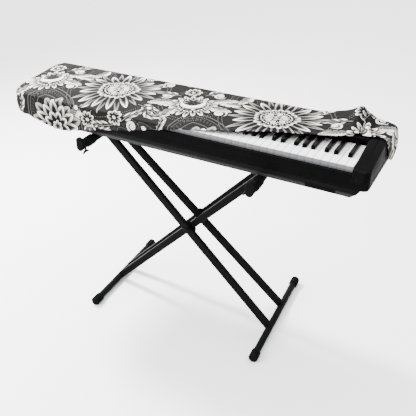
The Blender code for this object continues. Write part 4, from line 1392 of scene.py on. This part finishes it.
# %% Draw the print
def print_rows(star, rose, gate, fan):
    """Every motif of the print: group, point, place, turn, brightness, sizes."""
    star_pair, rose_pair, gate_pair, fan_pair = (mirrored(point) for point in (star, rose, gate, fan))
    middle = (0.0, 0.0)

    # arches and rows of dots behind everything
    rows = [(arch, rose, (0.0, 0.020), 0, 1.0, (0.122, -2.0)),
            (arch, star_pair, (0.085, 0.140), -30, 1.0, (0.055, -0.8)),
            (arch, gate_pair, (0.088, -0.030), 0, 1.0, (0.050, -0.6)),
            (arch, gate, (0.0, -0.010), 0, 1.0, (0.066, -0.8))]
    rows += [(beads, point, at, 0, 0.75, (count, ring, 0.0013))
             for point, at, ring, count in ((star, middle, 0.172, 150), (star, middle, 0.184, 160),
                                            (gate, (0.0, -0.010), 0.092, 84),
                                            (fan, (0.0, -0.010), 0.104, 92),
                                            (fan, (0.0, -0.010), 0.116, 102))]
    rows += [(bud, gate, (0.0, -0.016), 0, 1.0, (0.038,)),
             (bud, gate_pair, (0.088, -0.030), 0, 1.0, (0.026,))]

    # sprays and leaves between the blossoms
    rows += [(spray, point, at, turn, 1.0, (length, 0.0235, blade, 0.0088, bend, 1.0))
             for point, at, turn, length, blade, bend in (
                 (star_pair, (0.080, -0.130), -35, 0.120, 0.034, -0.028),
                 (gate_pair, (0.018, 0.062), 8, 0.100, 0.030, 0.026),
                 (fan_pair, (0.040, 0.066), 34, 0.095, 0.030, -0.020),
                 (rose_pair, (0.080, -0.085), -25, 0.080, 0.028, 0.018))]
    rows += [(leaf, point, at, turn, 1.0, (length, width, bend, 4.5, 0.30))
             for point, at, turn, length, width, bend in (
                 (star_pair, (0.104, 0.104), 18, 0.105, 0.026, 0.020),
                 (star_pair, (0.124, -0.104), -22, 0.100, 0.025, -0.018),
                 (gate_pair, (0.060, -0.075), -62, 0.090, 0.022, 0.016),
                 (fan_pair, (0.050, -0.030), -50, 0.095, 0.024, 0.018),
                 (fan_pair, (0.066, 0.010), 12, 0.090, 0.021, -0.016))]

    # plumes: sprays curled round a ring, with a ball at the start
    for point, at, turn, ring, length, blade in (
            (gate_pair, (0.128, 0.030), 205, 0.036, 0.155, 0.034),
            (star_pair, (0.150, -0.176), 150, 0.034, 0.150, 0.032),
            (rose_pair, (0.136, 0.060), 250, 0.030, 0.120, 0.030)):
        start = math.radians(turn)
        ball = (at[0] + ring * math.cos(start), at[1] + ring * math.sin(start))
        plume = (length, 0.0200, blade, 0.0095, 0.0, 0.30)
        rows += [(spray, curled(point, at, turn, ring), middle, 0, 1.0, plume),
                 (disc, point, ball, 0, 1.0, (0.0090, 0.0))]
    rows += [(scroll, star_pair, (0.178, 0.040), 40, 1.0, (0.0150, 1.6, 0.0050)),
             (scroll, fan_pair, (0.092, 0.062), 130, 1.0, (0.0135, 1.6, 0.0050)),
             (scroll, gate_pair, (0.052, 0.034), 60, 1.0, (0.0130, 1.6, 0.0050))]

    # the fan with its crescent bowl
    rows += [(petal_ring, fan_pair, (0.0, -0.020), 90, 1.0, (18, 0.030, 0.082, 0.0084, 0.55, 0.0, 1.0)),
             (beads, fan, (0.0, -0.020), 0, 1.0, (26, 0.050, 0.0030)),
             (petal_ring, fan_pair, (0.0, -0.005), 90, 1.0, (9, 0.004, 0.054, 0.0115, 0.75, 0.5, 1.0)),
             (crescent, fan, middle, 0, 1.0, (0.038, 0.0110)),
             (disc, fan_pair, (0.040, 0.018), 0, 1.0, (0.0080, 0.0))]

    # the broad blossom
    rows += [(petal_ring, rose, middle, 8, 0.82, (12, 0.020, 0.112, 0.0205, 0.60, 0.5, 1.15)),
             (petal_ring, rose, middle, 8, 1.0, (12, 0.020, 0.094, 0.0175, 0.62, 0.0, 1.25)),
             (petal_ring, rose, middle, 8, 1.0, (9, 0.010, 0.056, 0.0140, 0.55, 0.0, 1.25)),
             (disc, rose, middle, 0, 0.15, (0.025, 0.0)),
             (petal_ring, rose, middle, 8, 1.0, (7, 0.0, 0.022, 0.0058, 0.5, 0.0, 0.6))]

    # the star blossom, with leaves and scrolls in all four quarters of its heart
    heart = (star_pair[0], size_of(star_pair[1]))
    rows += [(petal_ring, star, middle, 3, 0.80, (14, 0.040, 0.162, 0.0115, 0.80, 0.5, 1.0)),
             (petal_ring, star, middle, 3, 1.0, (14, 0.040, 0.144, 0.0148, 0.70, 0.0, 1.15)),
             (petal_ring, star, middle, 0, 1.0, (20, 0.036, 0.074, 0.0082, 0.40, 0.0, 1.2)),
             (disc, star, middle, 0, 0.10, (0.054, 0.0)),
             (beads, star, middle, 0, 1.0, (34, 0.049, 0.0026)),
             (leaf, heart, (0.006, 0.004), 40, 1.0, (0.040, 0.0095, 0.004, 2.0, 0.15)),
             (scroll, heart, (0.029, 0.012), 200, 1.0, (0.0085, 1.5, 0.0036)),
             (scroll, heart, (0.012, 0.031), 20, 1.0, (0.0080, 1.5, 0.0034)),
             (petal_ring, star, middle, 11, 1.0, (6, 0.004, 0.020, 0.0062, 0.50, 0.0, 0.8)),
             (disc, star, middle, 0, 1.0, (0.0062, 0.0022))]

    # small flowers in the gaps
    for point, at in ((gate, (0.0, 0.084)), (rose_pair, (0.150, -0.020)), (fan, (0.0, 0.100))):
        rows += [(petal_ring, point, at, 0, 1.0, (9, 0.003, 0.030, 0.0070, 0.5, 0.0, 0.9)),
                 (disc, point, at, 0, 1.0, (0.0066, 0.0024))]
    return rows


# %% Put the rows into one group
def draw_print():
    """The whole print as one group: a point on the cloth in, its tone out."""
    point, = start_group("flower_print", ("Point",), ("Tone",))
    point = seen_from(axes(point)[:2], PRINT_AT, PRINT_TURN)
    families = [fold(point, at) for at in ((0.0, 0.0), (REPEAT / 2, DROP / 2),
                                           (0.0, REPEAT / 2), (REPEAT / 2, -DROP / 2))]
    tone = GROUND_TONE
    for row in print_rows(*families):
        tone = lay(tone, *row)
    return close_group(Tone=tone)


flower_print = draw_print()

# %% [markdown]
# Effects that several finishes share
# Three effects come back in most of the finishes: the grain of a moulded or painted surface, the
# slow unevenness that years of handling leave, and edges that are lighter, partly because they have
# been rubbed and partly from a painted highlight. Each is a node group with its own sizes. A group
# puts out plain numbers, and each finish decides what they change.

# %% Grain, unevenness, and rubbed edges with a painted highlight
def noise(point, scale, detail=2.0):
    """Noise between 0 and 1; scale is in waves a metre."""
    node = point.id_data.nodes.new("ShaderNodeTexNoise")
    feed(point, node.inputs["Vector"])
    feed(scale, node.inputs["Scale"])
    node.inputs["Detail"].default_value = detail
    return Value(node.outputs["Fac"])


def start_effect(name, *sizes):
    """A group that takes a point and some sizes, and puts out how strong its effect is there."""
    return start_group(name, ("Point", *sizes), ("Amount",))


point, scale = start_effect("moulded_grain", "Scale")
grain = close_group(Amount=0.65 * noise(point, scale, 2.0) + 0.35 * noise(point, scale * 3.1, 1.0))

point, scale = start_effect("slow_unevenness", "Scale")
clouds = 0.7 * noise(point, scale, 3.0) + 0.3 * noise(point, scale * 5.3, 2.0)
uneven = close_group(Amount=soft_step(clouds, 0.35, 0.65))

# The lighter edges are partly wear and partly a painted highlight.
point, scale, edge = start_effect("rubbed_edge_and_highlight", "Scale", "Edge")
rubbed_and_highlight = close_group(Amount=edge * soft_step(noise(point, scale, 3.0), 0.38, 0.62))
print("shared effects:", grain.name, uneven.name, rubbed_and_highlight.name)


# %% [markdown]
# Black and white parts
# The case is textured plastic, the keys are smooth plastic, the stand is steel with a powder coat,
# and the feet and sleeves are rubber. They differ in how deep the grain is, how rough the surface
# is, and how much lighter the edges get, where they are rubbed and where a highlight is painted on
# them. One function makes the black ones, and the table holds what differs. The tray and the white
# keys need a little more: both change from one part of the piece to another. The fronts of the white
# keys are greyed with painted shade.

# %% What every finish needs
def effect(tree, group, **values):
    """Places a shared effect in a finish, and returns its amount."""
    return Value(place_group(tree, group, **values).outputs["Amount"])


def blend_colour(tree, amount, one, other):
    """A Mix node between two colours, or between a colour and a colour socket."""
    node = tree.nodes.new("ShaderNodeMix")
    node.data_type = "RGBA"
    feed(amount, node.inputs[0])
    for slot, colour in ((node.inputs[6], one), (node.inputs[7], other)):
        feed((*colour, 1.0) if isinstance(colour, tuple) else colour, slot)
    return node.outputs[2]


def bumped(tree, height, deep, strength):
    """A Bump node for a height between 0 and 1 that stands for so many metres."""
    node = tree.nodes.new("ShaderNodeBump")
    node.inputs["Strength"].default_value = strength
    node.inputs["Distance"].default_value = deep
    feed(height, node.inputs["Height"])
    return node.outputs["Normal"]


def start_finish(name, gloss):
    """A new material: its tree, its shader, and the place on the piece."""
    made = bpy.data.materials.new(name)
    made.use_nodes = True
    tree = made.node_tree
    shader = tree.nodes["Principled BSDF"]
    shader.inputs["Specular IOR Level"].default_value = gloss
    place = tree.nodes.new("ShaderNodeTexCoord").outputs["Object"]
    return made, tree, shader, place


# %% Black finishes
HARD_FINISHES = {
    # grey, grey where uneven, grey where rubbed and painted highlight on the edges, roughness, gloss,
    # grain a metre, grain deep
    "case_plastic": (0.0020, 0.0026, 0.0066, 0.50, 0.006, 900.0, 0.00012),
    "tray_plastic": (0.0150, 0.0185, 0.0230, 0.55, 0.030, 700.0, 0.00016),
    "black_key_plastic": (0.0009, 0.0013, 0.0030, 0.22, 0.020, 1500.0, 0.00003),
    "stand_steel": (0.0028, 0.0040, 0.0080, 0.48, 0.014, 1300.0, 0.00010),
    "stand_rubber": (0.0030, 0.0046, 0.0080, 0.78, 0.006, 700.0, 0.00016),
}
CLOUDS_A_METRE, RUB_AND_HIGHLIGHT_A_METRE = 14.0, 160.0
CLOUD_ROUGH, GRAIN_ROUGH, WORN_SMOOTH = 0.10, 0.08, 0.10
GRAIN_STRENGTH = 0.6


def hard_finish(name):
    """Colour, roughness and bump of one black finish from the shared effects."""
    *greys, rough, gloss, scale, deep = HARD_FINISHES[name]
    plain, clouded, rubbed_and_highlight_grey = [(grey,) * 3 for grey in greys]
    made, tree, shader, place = start_finish(name, gloss)
    mark = tree.nodes.new("ShaderNodeAttribute")
    mark.attribute_name = "edge"
    cloud = effect(tree, uneven, Point=place, Scale=CLOUDS_A_METRE)
    # Lighter edges: partly rubbed, partly a painted highlight where the rounded edges would catch light.
    worn_and_highlight = effect(tree, rubbed_and_highlight, Point=place, Scale=RUB_AND_HIGHLIGHT_A_METRE, Edge=mark.outputs["Fac"])
    fine = effect(tree, grain, Point=place, Scale=scale)
    colour = blend_colour(tree, cloud, plain, clouded)
    feed(blend_colour(tree, worn_and_highlight, colour, rubbed_and_highlight_grey), shader.inputs["Base Color"])
    rough = rough + CLOUD_ROUGH * (cloud - 0.5) + GRAIN_ROUGH * (fine - 0.5) - WORN_SMOOTH * worn_and_highlight
    feed(rough, shader.inputs["Roughness"])
    feed(bumped(tree, fine, deep, GRAIN_STRENGTH), shader.inputs["Normal"])
    return made


# %% Finish of the tray
TRAY_RIM, RIM_BLEND = 0.7060, 0.0006


def tray_finish():
    """Lighter grey on the slope; the tray's upright rim takes the case's dark grey."""
    made = hard_finish("tray_plastic")
    tree = made.node_tree
    colour = tree.nodes["Principled BSDF"].inputs["Base Color"]
    _, _, z = axes(tree.nodes["Texture Coordinate"].outputs["Object"])
    rim = soft_step(z, TRAY_RIM - RIM_BLEND, TRAY_RIM)
    rim_colour = (HARD_FINISHES["case_plastic"][0],) * 3
    feed(blend_colour(tree, rim, colour.links[0].from_socket, rim_colour), colour)
    return made


# %% Finish of the white keys
WHITE_KEY, WHITE_KEY_OTHER = (0.80, 0.80, 0.82), (0.76, 0.76, 0.775)
# the grey of the key fronts is painted shade
JOINT_DUST, KEY_FRONT_PAINTED_SHADE = (0.10, 0.10, 0.105), (0.11, 0.11, 0.115)
JOINT_FROM, JOINT_FULL, JOINT_DARK = 0.450, 0.478, 0.75
FRONT_SHADE_FROM, FRONT_SHADE_FULL = KEY_TOP - 0.0004, KEY_TOP - 0.0016
KEY_GLOSS, KEY_ROUGH, KEY_CLOUD_ROUGH, KEY_CLOUDS_A_METRE = 0.35, 0.24, 0.10, 22.0
KEY_GRAIN_A_METRE, KEY_GRAIN_DEEP, KEY_GRAIN_STRENGTH = 500.0, 0.00002, 0.3


def white_key_finish():
    """Smooth plastic: each key a hair different, dust in the joints, and painted shade on the fronts."""
    made, tree, shader, place = start_finish("white_key_plastic", KEY_GLOSS)
    x, _, z = axes(place)
    key = (x - (KEY_LEFT + PLACE[0])) / KEY_PITCH
    number = calculate("FLOOR", key)
    which = tree.nodes.new("ShaderNodeTexWhiteNoise")
    which.noise_dimensions = "1D"
    feed(number, which.inputs["W"])
    joint = soft_step(size_of(key - number - 0.5), JOINT_FROM, JOINT_FULL)
    cloud = effect(tree, uneven, Point=place, Scale=KEY_CLOUDS_A_METRE)
    # Painted shade: each key's front, below its top edge, is greyed as if it lay in shade.
    front = soft_step(z, FRONT_SHADE_FROM, FRONT_SHADE_FULL)
    colour = blend_colour(tree, Value(which.outputs["Value"]), WHITE_KEY, WHITE_KEY_OTHER)
    colour = blend_colour(tree, JOINT_DARK * joint, colour, JOINT_DUST)
    front = front * (1.0 - 0.6 * joint)
    feed(blend_colour(tree, front, colour, KEY_FRONT_PAINTED_SHADE), shader.inputs["Base Color"])
    feed(KEY_ROUGH + KEY_CLOUD_ROUGH * cloud, shader.inputs["Roughness"])
    fine = effect(tree, grain, Point=place, Scale=KEY_GRAIN_A_METRE)
    feed(bumped(tree, fine, KEY_GRAIN_DEEP, KEY_GRAIN_STRENGTH), shader.inputs["Normal"])
    return made


# %% Dress the hard parts
def dress(pieces, look):
    """Gives the pieces one material."""
    for piece in pieces:
        piece.data.materials.clear()
        piece.data.materials.append(look)


dress(case, hard_finish("case_plastic"))
dress([tray], tray_finish())
dress([black_keys], hard_finish("black_key_plastic"))
for slot, pieces in stand_parts.items():
    dress(pieces, hard_finish(slot))
dress([white_keys], white_key_finish())
print("hard finishes:", len(HARD_FINISHES) + 1)

# %% [markdown]
# The printed cloth
# The cloth is a fine knit. Seen close up, its stitches stand in upright columns, each stitch a small
# V. A V comes from a wave down the column that is put off by the distance from the column's middle.
# Along the hem the cloth is turned in over the elastic, which makes a thicker band with two rows of
# stitching and small gathers. The second map of the cover counts along the hem and away from it.

# %% Finish of the cloth
GROUND, CREAM = (0.0024, 0.0024, 0.0026), (0.90, 0.86, 0.79)
TONE_CURVE = 4.8
COLUMN, COURSE = 0.0011, 0.0009
HEM_BAND, BAND_EDGE = 0.0120, 0.0006
STITCH, STITCH_ROWS, STITCH_WIDE = 0.0032, (0.0085, 0.0108), (0.0007, 0.0003)
GATHER = 0.0090
THREAD = (0.020, 0.020, 0.021)
CLOTH_GLOSS, CLOTH_ROUGH, CLOTH_CLOUDS_A_METRE = 0.05, 0.80, 9.0
CLOTH_DEEP, CLOTH_STRENGTH = 0.0009, 0.55


def map_point(tree, name):
    """The place on one of the cover's maps."""
    place = tree.nodes.new("ShaderNodeUVMap")
    place.uv_map = name
    return place.outputs[0]


def knit_group():
    """Columns of V-shaped stitches: a point on the cloth in, their height out."""
    point, column, course = start_effect("knit", "Column", "Course")
    x, y, _ = axes(point)
    x = x / column
    off = size_of(x - calculate("ROUND", x)) * 2.0
    stitch = 0.5 + 0.5 * wave(y / course - off * 0.5)
    return close_group(Amount=(0.35 + 0.65 * stitch) * (1.0 - off * off))


def cloth_finish():
    """The printed cloth: the print's tone between charcoal and cream, a fine knit, and the sewn hem."""
    made, tree, shader, _ = start_finish("printed_cloth", CLOTH_GLOSS)
    place = map_point(tree, "cloth")
    tone = Value(place_group(tree, flower_print, Point=place).outputs["Tone"])
    along, away, _ = axes(map_point(tree, "hem"))
    knit = effect(tree, knit_group(), Point=place, Column=COLUMN, Course=COURSE)
    cloud = effect(tree, uneven, Point=place, Scale=CLOTH_CLOUDS_A_METRE)
    band = soft_step(away, HEM_BAND + BAND_EDGE, HEM_BAND - BAND_EDGE)
    rows = most(soft_step(size_of(away - row), *STITCH_WIDE) for row in STITCH_ROWS)
    stitches = rows * soft_step(wave(along / STITCH), -0.35, 0.0)
    gathers = (0.5 + 0.5 * wave(along / GATHER)) * soft_step(away, HEM_BAND * 1.6, 0.0)

    tone = tone * (0.975 + 0.025 * cloud)
    colour = blend_colour(tree, tone ** TONE_CURVE, GROUND, CREAM)
    colour = blend_colour(tree, 0.30 * (1.0 - knit), colour, GROUND)
    feed(blend_colour(tree, stitches, colour, THREAD), shader.inputs["Base Color"])
    feed(CLOTH_ROUGH + 0.12 * cloud - 0.10 * stitches, shader.inputs["Roughness"])
    height = 0.18 * knit + 0.50 * band + 0.35 * gathers + 0.25 * stitches - 0.20 * rows
    feed(bumped(tree, height, CLOTH_DEEP, CLOTH_STRENGTH), shader.inputs["Normal"])
    return made


dress([cover], cloth_finish())
print("knit:", COLUMN, "by", COURSE)

# %% [markdown]
# Floor and light
# A pale floor, and a large soft light from above, as under a studio's ceiling. The surround is
# brightest overhead and to the back left, and dim near the horizon. Black plastic mirrors what lies
# near the horizon, so a dim one keeps it black, while the tops of the keys and the cloth get their
# full light. A small lamp high on the left gives that light a direction, and a broad one lower at
# the front left lifts the front of the case and the stand.

# %% Floor and light
FLOOR_TONES = (0.925, 0.925, 0.925), (0.935, 0.935, 0.935)
FLOOR_HALF = 60.0
floor_mesh = bpy.data.meshes.new("floor")
floor_corners = [(x * FLOOR_HALF, y * FLOOR_HALF, 0.0) for x, y in ((-1, -1), (1, -1), (1, 1), (-1, 1))]
floor_mesh.from_pydata(floor_corners, [], [(0, 1, 2, 3)])
floor = add_object("floor", floor_mesh)
pale, tree, shader, place = start_finish("pale_floor", 0.2)
cloud = effect(tree, uneven, Point=place, Scale=1.5)
feed(blend_colour(tree, cloud, *FLOOR_TONES), shader.inputs["Base Color"])
shader.inputs["Roughness"].default_value = 0.9
floor_mesh.materials.append(pale)

SKY_LOW, SKY_HIGH = 0.9, 5.4
SKY_TOWARDS = Vector((-0.30, 0.25, 0.92)).normalized()
SKY_FROM, SKY_FULL = 0.30, 0.95
world = bpy.data.worlds.new("surround")
bpy.context.scene.world = world
world.use_nodes = True
tree = world.node_tree
direction = tree.nodes.new("ShaderNodeTexCoord").outputs["Generated"]
turned = tree.nodes.new("ShaderNodeVectorMath")
turned.operation = "DOT_PRODUCT"
feed(direction, turned.inputs[0])
turned.inputs[1].default_value = SKY_TOWARDS
bright = soft_step(Value(turned.outputs["Value"]), SKY_FROM, SKY_FULL)
feed(SKY_LOW + (SKY_HIGH - SKY_LOW) * bright, tree.nodes["Background"].inputs["Strength"])
tree.nodes["Background"].inputs["Color"].default_value = (1.0, 1.0, 1.0, 1.0)

LAMPS = {
    # place, target, size, power
    "high_left": ((-1.9, 0.5, 2.2), (0.3, 0.0, 0.75), 0.35, 290.0),
    "front_left": ((-1.4, -2.0, 1.5), (-0.2, 0.0, 0.75), 1.6, 110.0),
}
for name, (place, target, size, power) in LAMPS.items():
    lamp_data = bpy.data.lights.new(name, "AREA")
    lamp_data.size = size
    lamp_data.energy = power
    lamp = add_object(name, lamp_data)
    lamp.location = place
    lamp.rotation_euler = (Vector(target) - Vector(place)).to_track_quat("-Z", "Y").to_euler()
print("lamps:", len(LAMPS))
